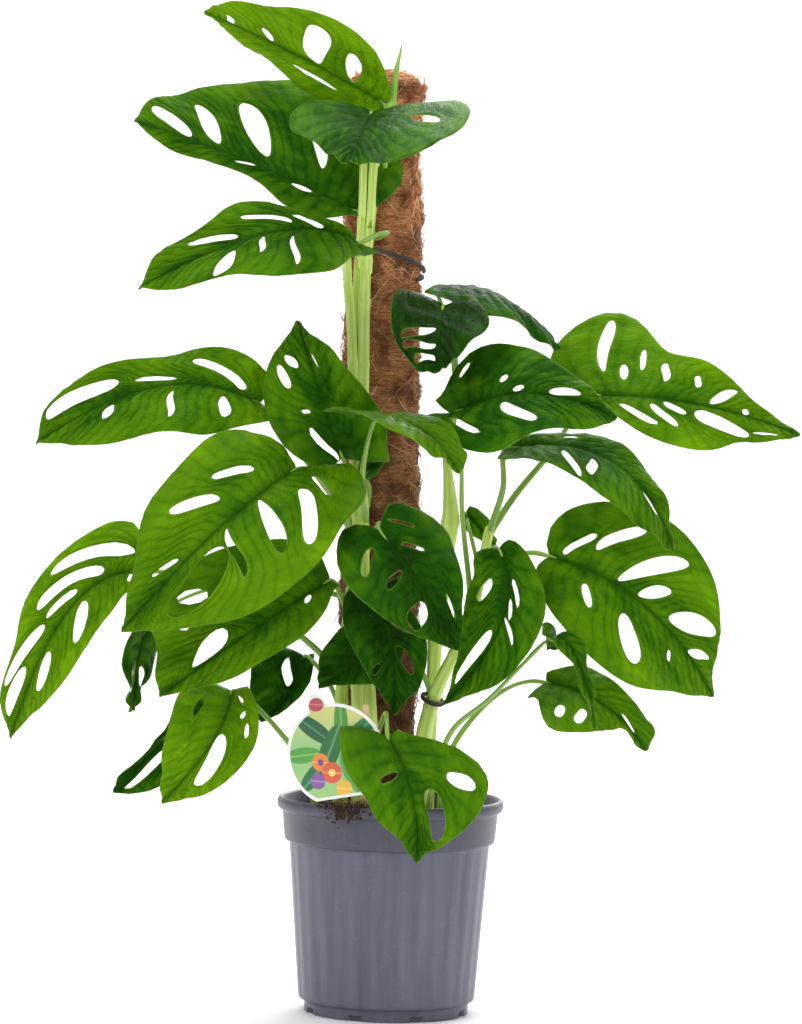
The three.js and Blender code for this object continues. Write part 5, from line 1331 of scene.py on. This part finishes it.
# %% Wrap the pole
piece("coir_sleeve_felt", [felt_part()], [COIR_FELT], ["coir_sleeve"])
fibres = side_hairs(2900, (8, 26), (5, 85), 1.1, 0.09, (0.22, 0.46), (0.05, 0.85))
straws = side_hairs(460, (16, 44), (28, 58), 2.0, 0.05, (0.3, 0.48), (0.75, 1.05))
piece("coir_sleeve_hairs", [fibres, straws, crown_hairs(520)], [COIR_HAIR])

# %% [markdown]
# The pot is thin moulded plastic: a rolled rim, a collar, a wall with soft
# upright flutes, and a foot ring with small drain notches. A mould rounds every
# corner, so the profile's corners are rounded first, and then it is turned. The
# flutes and the notches are a second function that moves the rings in and out.

# %% Pot shape
POT_HEIGHT, POT_RIM, LIP, COLLAR, COLLAR_RADIUS = 162, 85, 9, 25, 79
WALL_TOP, WALL_BOTTOM, WALL, FOOT_RADIUS, FOOT_HEIGHT, FOOT_DEPTH, FLOOR = 75, 66, 1.8, 61.5, 9.5, 6, 3
SHOULDER, INNER_FLOOR = POT_HEIGHT - LIP - COLLAR, FOOT_DEPTH + FLOOR
FLUTES, FLUTE_DEPTH = 30, 0.22
NOTCHES, NOTCH_DEPTH = 8, 3.2
CORNER = 1.1  # mm, how far a rounding starts from its corner


def rounded(profile, steps=4):
    """Each inner corner becomes a short quadratic Bezier curve that starts and
    ends CORNER before and after it, or at most at the middle of its side."""
    p = np.asarray(profile, float)
    corner, q = p[1:-1], np.linspace(0, 1, steps)[:, None, None]
    side = lambda way: unit(way) * np.minimum(CORNER, np.linalg.norm(way, axis=1, keepdims=True) * 0.48)
    before, after = corner + side(p[:-2] - corner), corner + side(p[2:] - corner)
    curve = (1 - q) ** 2 * before + 2 * q * (1 - q) * corner + q * q * after
    return np.concatenate([p[:1], curve.transpose(1, 0, 2).reshape(-1, 2), p[-1:]])


def pot_profile():
    """Radius and height round the wall's section, from the middle of the
    underside out, up, over the rim and down to the middle of the floor."""
    foot, lip, low = FOOT_HEIGHT + 1, POT_HEIGHT - LIP, WALL_BOTTOM - WALL
    share = np.array([0, 0.04, 0.5, 0.96, 1])
    wall = stack(WALL_BOTTOM + (WALL_TOP - WALL_BOTTOM) * share, foot + (SHOULDER - foot) * share)
    return rounded([
        (0, 0), (12, 0), (12, FOOT_DEPTH), (FOOT_RADIUS - 4, FOOT_DEPTH), (FOOT_RADIUS - 3.5, 0),
        (FOOT_RADIUS, 0), (FOOT_RADIUS, 4.5), (FOOT_RADIUS, FOOT_HEIGHT - 1), *wall,
        (COLLAR_RADIUS, SHOULDER + 1.5), (COLLAR_RADIUS + 0.6, SHOULDER + 8), (COLLAR_RADIUS + 2, lip - 1.5),
        (POT_RIM - 1, lip), (POT_RIM, lip + 2), (POT_RIM, POT_HEIGHT - 3), (POT_RIM - 2.2, POT_HEIGHT),
        (POT_RIM - 4.5, POT_HEIGHT - 1.5), (WALL_TOP + 4.5 - WALL, lip), (WALL_TOP + 1 - WALL, SHOULDER + 2),
        (WALL_TOP - WALL, SHOULDER - 2), (low, INNER_FLOOR + 2), (low - 3, INNER_FLOOR), (0, INNER_FLOOR),
    ])


def pot_shift(turn, radius, height):
    """Flutes: flat ribs from a squared-off cosine, only on the outer wall.
    Notches: the foot ring drops in at eight places near the floor."""
    share = (height - FOOT_HEIGHT) / (SHOULDER - FOOT_HEIGHT)
    outer = smooth(0, 1.0, radius - (WALL_BOTTOM - 1.2 + (WALL_TOP - WALL_BOTTOM) * share))
    wall = smooth(FOOT_HEIGHT + 2, FOOT_HEIGHT + 8, height) * (1 - smooth(SHOULDER - 4, SHOULDER - 1, height))
    flutes = FLUTE_DEPTH * np.tanh(1.6 * np.cos(FLUTES * turn)) * wall * outer
    gap = 1 - smooth(0.09, 0.12, abs((turn * NOTCHES / TURN) % 1 - 0.5))
    foot = (1 - smooth(3.4, 4.4, height)) * smooth(FOOT_RADIUS - 2, FOOT_RADIUS - 0.4, radius)
    return flutes - NOTCH_DEPTH * gap * foot


# %% [markdown]
# Nursery plastic is a dull blue-grey with a faint satin shine. Handling leaves
# fine dust and water marks on it, and the raised edges are rubbed a little
# lighter. From the shoulder up and at the foot the plastic is darker, as painted
# shade under the rim and near the floor. Dust is a group because the mix, the
# ties and the card use it too.

# %% Dust group and pot material
def dust():
    given, out = group("dust", dict(Vector=None, Scale=120.0, Amount=0.3), dict(Mask="Float", Height="Float"))
    grains = noise(given["Vector"], given["Scale"], 4, 0.7)
    cloud = noise(given["Vector"], given["Scale"] * 0.12, 3)
    mask = fade(grains, 0.48, 0.66) * fade(cloud, 0.35, 0.65) * given["Amount"]
    feed(out, Mask=mask, Height=grains)


dust()


def pot_material():
    made, tree, shader = material("pot_plastic", Specular_IOR_Level=0.5)
    where = spot(tree)
    height = split(where)[2]
    film = use(tree, "dust", Vector=where, Scale=420.0, Amount=0.14)
    marks = noise(mapped(where, (130, 130, 2.5)), 1.0, 3)
    color = ramp(marks, (0.3, "515062"), (0.7, "636275"))
    # painted shade: from the shoulder up, the collar under the rim and the rim with it are darker
    color = blend(fade(height, 0.1265, 0.1305, (0.0, 0.6)), color, "34343e")  # the collar
    color = blend(film["Mask"], color, "8a8a94")
    rubbed = fade(node(tree, "NewGeometry", output="Pointiness"), 0.53, 0.62, (0.0, 0.2))
    color = blend(rubbed, color, "83848f")
    # painted shade: darker towards the bottom, at the foot under the wall
    color = blend(fade(height, 0.0, 0.02, (0.3, 0.0)), color, "3c3d47")  # the foot
    feed(shader, Base_Color=color, Roughness=marks * 0.16 + film["Mask"] + 0.3)
    bumped(shader, film["Height"], 0.05, 0.5)
    return made


POT_PLASTIC = pot_material()
piece("pot_moulded", [lathe(pot_profile(), 300, pot_shift)], [POT_PLASTIC], ["pot"])

# %% [markdown]
# The potting mix is dark peat with crumbs and coconut fibres, heaped against
# the front of the pot, where some lies over the rim. Its surface is a grid in
# rings whose height is a dome, a heap and fine lumps. The crumbs are small
# twenty-sided stones, each squashed and turned its own way.

# %% Potting mix
SOIL_TOP, SOIL_DOME, SOIL_RADIUS = 141, 5, 76.6
HEAP_X, HEAP_Y, HEAP_HEIGHT, HEAP_RADIUS = -22, -66, 20, 13
SPILL_AT, SPILLED = 246, 230  # degrees round the pot where mix lies over the rim, and its crumbs


def soil_height(x, y):
    """A low dome and a Gaussian heap."""
    dome = SOIL_TOP + SOIL_DOME * (1 - (x * x + y * y) / 78**2)
    return dome + HEAP_HEIGHT * np.exp(-((x - HEAP_X) ** 2 * 0.4 + (y - HEAP_Y) ** 2) / HEAP_RADIUS**2)


def soil_part():
    """The pot's inside filled up: a wall up to the soil's edge, then rings in
    to the middle at the soil's height."""
    wall = [(0, 10), (60, 10), (63.5, 13), (72.6, 126), (SOIL_RADIUS, 138)]
    made = lathe([*wall, *stack(np.linspace(SOIL_RADIUS, 0, 41), SOIL_TOP)], 120)
    points = made["points"]
    top = points[:, 2] > SOIL_TOP - 2
    lumps = 1.3 * ripple(points, 12, 8) + 0.7 * ripple(points, 5, 9)
    points[top, 2] = (soil_height(points[:, 0], points[:, 1]) + lumps)[top]
    return made


def crumbs_part(x, y, z):
    """Icosahedra: twelve corners from the golden ratio g, each crumb scaled by
    three different numbers and turned at random about an upright line."""
    count, g = len(x), (1 + 5**0.5) / 2
    plane = np.array([(-1, g, 0), (1, g, 0), (-1, -g, 0), (1, -g, 0)])
    corners = unit(np.concatenate([plane, np.roll(plane, 1, 1), np.roll(plane, 2, 1)]))
    faces = np.array([(0, 11, 5), (0, 5, 1), (0, 1, 7), (0, 7, 10), (0, 10, 11), (1, 5, 9), (5, 11, 4),
                      (11, 10, 2), (10, 7, 6), (7, 1, 8), (3, 9, 4), (3, 4, 2), (3, 2, 6), (3, 6, 8),
                      (3, 8, 9), (4, 9, 5), (2, 4, 11), (6, 2, 10), (8, 6, 7), (9, 8, 1)])
    size, shade = rng.uniform(0.8, 2.3, (count, 1, 1)), rng.uniform(0, 1, count)
    stones = corners * (size * rng.uniform(0.55, 1.15, (count, 12, 1))) * rng.uniform(0.5, 1, (count, 1, 3))
    a, b, height = stones.transpose(2, 0, 1)
    turn = draws(0, TURN, count)
    c, s = np.cos(turn), np.sin(turn)
    points = stack(x[:, None] + a * c + b * s, y[:, None] + b * c - a * s, z[:, None] + height)
    return part(points, copies(faces, count, 12), 1, shade=np.repeat(shade, 12))


def scattered_crumbs(count=700, heaped=330):
    """Crumbs spread evenly over the disc (radius = R sqrt of a random share),
    more on the heap, and a clump on the rim that thins out down its outside."""
    turn, rho = rng.uniform(0, TURN, count), 75 * np.sqrt(rng.random(count))
    x, y = rho * np.cos(turn), rho * np.sin(turn)
    heap_x, heap_y = rng.normal(HEAP_X, 15, heaped), rng.normal(HEAP_Y, 7, heaped)
    keep = np.hypot(heap_x, heap_y) < 80
    x, y = np.append(x, heap_x[keep]), np.append(y, heap_y[keep])
    z = soil_height(x, y) + 0.6
    turn, drop = np.radians(rng.normal(SPILL_AT, 5.5, SPILLED)), np.maximum(rng.normal(0, 5, SPILLED), 0)
    out = np.where(drop > 0, POT_RIM + 0.2, rng.uniform(76, 85, SPILLED))
    rim = POT_HEIGHT + 0.5 - drop - 0.5 * np.maximum(out - 83, 0)
    return crumbs_part(np.append(x, out * np.cos(turn)), np.append(y, out * np.sin(turn)), np.append(z, rim))


def soil_hairs(count):
    """Short curved fibres lying on the mix: straight runs with a bow, dropped
    onto the soil's height."""
    heap = rng.random((count, 1)) < 0.4
    turn, rho = draws(0, TURN, count), 70 * np.sqrt(rng.random((count, 1)))
    x = np.where(heap, rng.normal(HEAP_X, 14, (count, 1)), rho * np.cos(turn))
    y = np.where(heap, rng.normal(HEAP_Y - 3, 6, (count, 1)), rho * np.sin(turn))
    way, bow = draws(0, TURN, count), draws(-0.5, 0.5, count) * (Q - Q * Q)
    length = draws(8, 24, count) * np.where(heap, 0.45, 1)
    x = x + length * ((Q - 0.5) * np.cos(way) - bow * np.sin(way))
    y = y + length * ((Q - 0.5) * np.sin(way) + bow * np.cos(way))
    rho = np.hypot(x, y)
    over_rim = POT_HEIGHT + 0.5 - 0.7 * np.maximum(rho - 84.5, 0) ** 1.3
    lift = draws(0.4, 3, count) * (0.4 + np.sin(math.pi * Q))
    inside = np.minimum(1, 84 / rho)
    paths = stack(x * inside, y * inside, np.where(rho > 78, over_rim, soil_height(x, y)) + lift)
    return hair_part(paths, (0.22, 0.4), (0.2, 0.95), UP, 2)


def peat_material():
    made, tree, shader = material("peat", Roughness=0.95)
    where = spot(tree)
    grit = use(tree, "dust", Vector=where, Scale=380.0, Amount=0.9)
    color = ramp(noise(where, 190.0, 4, 0.65), (0.3, "1d110b"), (0.55, "3c2618"), (0.8, "6a4a30"))
    feed(shader, Base_Color=blend(grit["Mask"], color, "7a5a3e"))
    bumped(shader, grit["Height"], 1.2)
    return made


PEAT = peat_material()
PEAT_CRUMB = hair_material("peat_crumb", (0.0, "20130c"), (0.5, "4a2f1d"), (1.0, "86603f"))
parts = [soil_part(), scattered_crumbs(), soil_hairs(420)]
piece("potting_mix_heaped", parts, [PEAT, PEAT_CRUMB, COIR_HAIR], ["potting_mix"])

# %% [markdown]
# Two ties of foam-covered wire hold the plant. The long one goes round the pole
# and the stem bundle, and the short ring sits on the right stem. Foam is soft
# and matt, a little uneven, and its skin is full of pinholes.

# %% Ties
TIE_RADIUS = 1.7
POLE_TIE = [
    (10.2, -4.6, 549), (14.8, 10, 552), (6.2, 30.9, 555), (-14.8, 39.6, 558), (-35.8, 30.9, 562),
    (-45, 10, 566), (-46, -10, 569), (-47, -28, 571), (-40, -37, 572), (-30, -34.5, 572), (-20, -32, 571),
    (-11, -23.5, 569.5), (-4, -20.5, 567), (3, -18.5, 565), (10.5, -8, 562), (15.6, 1, 558), (16, 8, 555),
]
RING_CENTRE, RING_AXIS, RING_RADIUS = (29.6, -36.8, 239), (0.35, -0.35, 1), 8


def tie_part(path, closed=False):
    """A sweep with a slow unevenness of a tenth of the radius; an open tie has
    rounded ends."""
    radius = TIE_RADIUS * (1 + 0.09 * ripple(path, 6, 12))
    if not closed:
        share = np.linspace(0, 1, len(path))
        radius = radius * np.sqrt(smooth(0, 0.02, share) * smooth(0, 0.02, 1 - share) + 0.04)
    return sweep(path, radius, 12, UP, closed=closed)


def ring_route(count=10):
    """Points on the ring: centre + radius (cos a + sin b) in two directions
    square to the axis."""
    axis = unit(np.array(RING_AXIS, float))
    side = unit(np.cross((0, 1, 0), axis))
    turn = around(count)[:, None]
    return RING_CENTRE + RING_RADIUS * (np.cos(turn) * side + np.sin(turn) * np.cross(axis, side))


def foam_material():
    made, tree, shader = material("tie_foam", Roughness=0.88, Sheen_Weight=0.15)
    where = spot(tree)
    skin = use(tree, "dust", Vector=where, Scale=700.0, Amount=0.25)
    color = ramp(noise(where, 60.0, 3), (0.3, "2c2623"), (0.7, "463c36"))
    feed(shader, Base_Color=blend(skin["Mask"], color, "7b6d60"))
    bumped(shader, skin["Height"], 0.4, 0.8)
    return made


TIE_FOAM = foam_material()
piece("tie_pole_foam", [tie_part(smooth_path(POLE_TIE, 140))], [TIE_FOAM], ["tie_pole"])
piece("tie_stem_foam", [tie_part(smooth_path(ring_route(), 60, True), True)], [TIE_FOAM], ["tie_stem"])

# %% [markdown]
# The plant label is a round die-cut card on a wooden stick. Its print is a
# plain pattern made for this part: overlapping leaves and a few flowers, inside
# a white border. The shapes are ellipses in the card's own coordinates, drawn by
# one group that is placed several times, so the print stays sharp at any size.

# %% Label shape
CARD_HALF, CARD_RISE, CARD_FOOT, CARD_TILT, CARD_THICK = 39.2, 38, 36.5, 0.2, 0.8
CARD_TURN, CARD_CENTRE = math.radians(-22), (-41, -78.5, 200)
CARD_BOW = 0.0009  # how far the card's sides stand back: mm for each square mm
BUMP_AT, BUMP_RADIUS = (-17, 37), 7  # a round bump on the outline
EDGE_ROUND = 0.3  # mm


def card_outline(turn):
    """In each direction the farther of two edges: a circle with a straight
    foot that rises to the right, and the far side of the bump's circle, d cos
    a + sqrt(r^2 - (d sin a)^2) for a bump at distance d and angle a."""
    x = CARD_HALF * np.cos(turn)
    foot = CARD_TILT * np.maximum(0, x + 20) - CARD_FOOT
    round_edge = stack(x, np.maximum(foot, CARD_RISE * np.sin(turn)))
    off = np.arctan2(round_edge[:, 1], round_edge[:, 0]) - math.atan2(BUMP_AT[1], BUMP_AT[0])
    away = math.hypot(*BUMP_AT)
    inside = BUMP_RADIUS**2 - (away * np.sin(off)) ** 2
    far_side = away * np.cos(off) + np.sqrt(np.maximum(inside, 0))
    bump = np.where((inside > 0) & (np.cos(off) > 0), far_side, 0)
    size = np.linalg.norm(round_edge, axis=1)
    return round_edge * (np.maximum(size, bump) / size)[:, None]


def card_part(rows=8, segments=240):
    """The outline in rings from the middle out, with a front, a back and a
    rounded edge; then bowed a little, stood up and turned."""
    front = np.append(np.linspace(0, 1, rows + 1)[1:-1] ** 0.7, 1 - EDGE_ROUND / CARD_HALF)
    shares = np.concatenate([front, [1, 1], front[::-1]])[:, None]
    heights = CARD_THICK / 2 * np.concatenate([np.ones(rows), [0.5, -0.5], -np.ones(rows)])[:, None]
    x, y = card_outline(around(segments)).T
    local = stack(x * shares, y * shares, heights).reshape(-1, 3)
    x, z, y = np.concatenate([local, [[0, 0, CARD_THICK / 2], [0, 0, -CARD_THICK / 2]]]).T
    looks_front = np.append(np.repeat(heights > 0, segments), [True, False])
    border = CARD_HALF * (1 - np.append(np.repeat(shares, segments), [0, 0]))
    art = stack(x / CARD_HALF, z / CARD_HALF, looks_front)
    y = y - CARD_BOW * x**2
    c, s = math.cos(CARD_TURN), math.sin(CARD_TURN)
    points = stack(x * c + y * s, x * s - y * c, z) + CARD_CENTRE
    return part(points, tube_triangles(len(shares), segments)[:, ::-1], art=art, border=border)


# %% [markdown]
# The print reads the card's own coordinates, which the mesh stores. Each shape
# covers those before it, the white border comes last, and the back stays white.

# %% Label print
def ellipse():
    """Mask of an ellipse: turn the coordinates about its centre, divide by its
    two radii, and fade out where the length passes 1. Rib is a pale line along
    it."""
    given, out = group("ellipse", dict(Vector=None, Centre=None, Radii=(1.0, 1.0, 1.0), Turn=0.0),
                       dict(Mask="Float", Rib="Float"))
    tree = given["Vector"].tree
    moved = node(tree, "VectorMath", {0: given["Vector"], 1: given["Centre"]}, operation="SUBTRACT")
    turned = node(tree, "VectorRotate", {"Vector": moved, "Angle": given["Turn"]}, rotation_type="Z_AXIS")
    scaled = node(tree, "VectorMath", {0: turned, 1: given["Radii"]}, operation="DIVIDE")
    length = node(tree, "VectorMath", {0: scaled}, output="Value", operation="LENGTH")
    mask = fade(length, 0.95, 1.05, (1.0, 0.0))
    rib = fade(maths("ABSOLUTE", split(scaled)[1]), 0.05, 0.16, (0.7, 0.0))
    feed(out, Mask=mask, Rib=rib * mask)


ellipse()
PRINT = [  # centre, radii, turn in degrees, colour, colour of the rib
    ((0.55, 0.55), (0.42, 0.15), -40, "2f7d4c", "6cb382"),
    ((0.1, 0.62), (0.4, 0.14), -95, "4c8f38", "88bd66"),
    ((-0.45, 0.45), (0.46, 0.17), -150, "1f5c38", "569a70"),
    ((0.62, 0.05), (0.4, 0.15), 10, "74b84a", "aedb86"),
    ((-0.66, -0.05), (0.36, 0.15), 170, "4f9f3f", "93cc7c"),
    ((-0.1, 0.1), (0.5, 0.2), -70, "256d38", "68ad78"),
    ((0.34, -0.32), (0.42, 0.16), 60, "58a852", "9bd38f"),
    ((-0.42, -0.42), (0.4, 0.16), 130, "2a6d42", "6cae86"),
    ((-0.3, -0.16), (0.17, 0.17), 0, "e8883a", "f2b070"),
    ((-0.06, -0.34), (0.2, 0.2), 0, "d9603a", "f09a6c"),
    ((-0.34, -0.52), (0.15, 0.15), 0, "8a5aa0", "b890c8"),
    ((0.2, -0.62), (0.16, 0.16), 0, "f0b93e", "f8d884"),
    ((-0.06, -0.34), (0.07, 0.07), 0, "f7d66a", "fbe9a8"),
    ((-0.3, -0.16), (0.06, 0.06), 0, "7a3f8a", "9a6aaa"),
    ((-0.43, 0.92), (0.16, 0.13), 0, "b4485a", "d98c92"),
]


def card_material():
    made, tree, shader = material("label_print", Roughness=0.32, Coat_Weight=0.25, Coat_Roughness=0.2)
    art = reads(tree, "art", "Vector")
    x, y, front = split(art)
    flat = node(tree, "CombineXYZ", {0: x, 1: y})
    color = ramp(y * 0.4 + 0.5, (0.0, "a9d07c"), (0.5, "8fc687"), (1.0, "e3d072"))
    for centre, radii, turn, inside, rib in PRINT:
        laid = dict(Centre=(*centre, 0), Radii=(*radii, 1), Turn=math.radians(turn))
        shape = use(tree, "ellipse", Vector=flat, **laid)
        color = blend(shape["Rib"], blend(shape["Mask"], color, inside), rib)
    color = blend(fade(reads(tree, "border"), 2.4, 2.7, (1.0, 0.0)), color, "f4f4f0")
    color = blend(fade(front, 0.4, 0.6, (1.0, 0.0)), color, "f4f4f0")
    speck = use(tree, "dust", Vector=art, Scale=60.0, Amount=0.08)
    feed(shader, Base_Color=blend(speck["Mask"], color, "d8d8c8"))
    bumped(shader, speck["Height"], 0.03, 0.3)
    return made


LABEL_PRINT = card_material()
piece("label_card_printed", [card_part()], [LABEL_PRINT], ["label_card"])

# %% [markdown]
# The stick behind the card is a flat wooden slat with rounded edges and round
# ends. Its section is a superellipse, which lies between an oval and a box. The
# pole's core is hidden in the coir and keeps its CAD mesh, with the same wood.

# %% Label stick
STICK_MIDDLE, STICK_LEAN = (-19.5, -74.5, 179.5), math.radians(10.5)
STICK_WIDTH, STICK_THICK, STICK_LONG = 5, 2, 120


def slat_part(rows=40, sides=20):
    """|x/a|^4 + |y/b|^4 = 1 carried up the slat; the width closes to a half
    circle at both ends."""
    a, b, half = STICK_WIDTH / 2, STICK_THICK / 2, STICK_LONG / 2
    z = -half * np.cos(np.linspace(0, math.pi, rows))[:, None]
    close = np.sqrt(np.clip(1 - (np.maximum(abs(z) - (half - a), 0) / a) ** 2, 0.0004, 1))
    root = lambda w: np.sign(w) * abs(w) ** 0.5
    turn = around(sides)
    x, y = a * root(np.cos(turn)) * close, b * root(np.sin(turn)) * np.sqrt(close)
    x, y, z = np.concatenate([stack(x, y, z).reshape(-1, 3), [[0, 0, -half], [0, 0, half]]]).T
    c, s = math.cos(STICK_LEAN), math.sin(STICK_LEAN)
    points = stack(x, y * c - z * s, y * s + z * c) + STICK_MIDDLE
    return part(points, tube_triangles(rows, sides), along=stack(z + half, x / 8, 2.5))


def wood_material():
    made, tree, shader = material("stick_wood", Roughness=0.7)
    along = reads(tree, "along", "Vector")
    grain = use(tree, "streaks", Along=along, Width=0.35, Length=30.0, Seed=4.0)
    color = ramp(grain["Streak"], (0.3, "b48d5c"), (0.55, "d9bb8c"), (0.8, "ead3ab"))
    feed(shader, Base_Color=blend(grain["Blotch"] * 0.25, color, "c79f6a"))
    bumped(shader, grain["Height"], 0.2, 0.6)
    return made


STICK_WOOD = wood_material()
piece("label_stick_wood", [slat_part()], [STICK_WOOD], ["label_stick"])
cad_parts["pole_core"].material_slots[0].material = STICK_WOOD

# %% [markdown]
# A plain pale floor and soft light. The floor is a curved sweep, flat under the
# pot and rising gently behind it, so that no line cuts the background. Its back
# is clear, so the plant can be looked at from behind as well.

# %% Floor
FLOOR_FRONT, FLOOR_BACK, FLOOR_BEND, FLOOR_TOP, FLOOR_HALF = -3500, 2500, 1200, 4500, 6000


def backdrop():
    """A profile (flat, then a quarter circle, then a wall) carried sideways."""
    turn = np.linspace(0, math.pi / 2, 17)
    bend = stack(FLOOR_BACK + FLOOR_BEND * np.sin(turn), FLOOR_BEND * (1 - np.cos(turn)))
    profile = np.concatenate([[[FLOOR_FRONT, 0]], bend, [[FLOOR_BACK + FLOOR_BEND, FLOOR_TOP]]])
    points = stack((-FLOOR_HALF, FLOOR_HALF), profile[:, :1], profile[:, 1:]).reshape(-1, 3)
    mesh = bpy.data.meshes.new("floor")
    mesh.from_pydata((points * MM).tolist(), [], grid_triangles(len(profile), 2).tolist())
    mesh.shade_smooth()
    made = bpy.data.objects.new("floor", mesh)
    bpy.context.scene.collection.objects.link(made)
    look, tree, shader = material("floor", Roughness=0.9)
    feed(shader, Base_Color=ramp(noise(spot(tree), 3.0), (0.3, "fbfbfb"), (0.7, "fdfdfd")))
    mixed(tree, node(tree, "NewGeometry", output="Backfacing"), shader, node(tree, "BsdfTransparent"))
    mesh.materials.append(look)


backdrop()

# %% [markdown]
# Leaves need light from all sides: a large key from the front left, a weaker
# fill from the right, one lamp above, one behind the plant that shines through
# the blades, and one for the wall. A pale world fills the deepest shadows.

# %% Light
def lamp(name, place, target, size, power):
    """A square soft box at a place in metres, turned to a target."""
    data = bpy.data.lights.new(name, "AREA")
    data.size, data.energy = size, power
    made = bpy.data.objects.new(name, data)
    made.location = place
    made.rotation_euler = (Vector(target) - Vector(place)).to_track_quat("-Z", "Y").to_euler()
    bpy.context.scene.collection.objects.link(made)
    print("lamp", name, power, "W")


lamp("key", (-1.6, -2.2, 2.4), (0, 0, 0.4), 1.6, 42)
lamp("fill", (2.2, -2.0, 1.2), (0, 0, 0.4), 1.8, 17)
lamp("top", (0.1, 0.3, 2.6), (0, 0, 0.4), 1.6, 34)
lamp("behind", (0.8, 2.0, 1.5), (0, 0, 0.45), 1.6, 34)
lamp("backdrop", (0, 1.7, 3.0), (0, 3.7, 1.2), 2.5, 60)
world = bpy.data.worlds.new("studio")
world.use_nodes = True
feed(world.node_tree.nodes["Background"], Color=(1, 1, 1, 1), Strength=0.5)
bpy.context.scene.world = world
bpy.context.scene.view_settings.view_transform = "Standard"

# %% [markdown]
# A long lens from 3.6 m keeps the pot's sides nearly straight. The camera
# looks down a little and is rolled by about one degree.

# %% Camera
EYE, AIM, ROLL, LENS = Vector((0.003, -3.6, 0.54)), Vector((0.003, 0, 0.376)), math.radians(1.3), 169.15
view = (AIM - EYE).normalized()
right = view.cross(Vector(UP)).normalized()
above = right.cross(view)
c, s = math.cos(ROLL), math.sin(ROLL)
axes = (right * c + above * s, above * c - right * s, -view)
camera = bpy.data.objects.new("camera", bpy.data.cameras.new("camera"))
camera.data.lens = LENS
camera.matrix_world = Matrix.Translation(EYE) @ Matrix(axes).transposed().to_4x4()
bpy.context.scene.collection.objects.link(camera)
bpy.context.scene.camera = camera
print("camera", [round(x, 3) for x in camera.location], "lens", camera.data.lens)
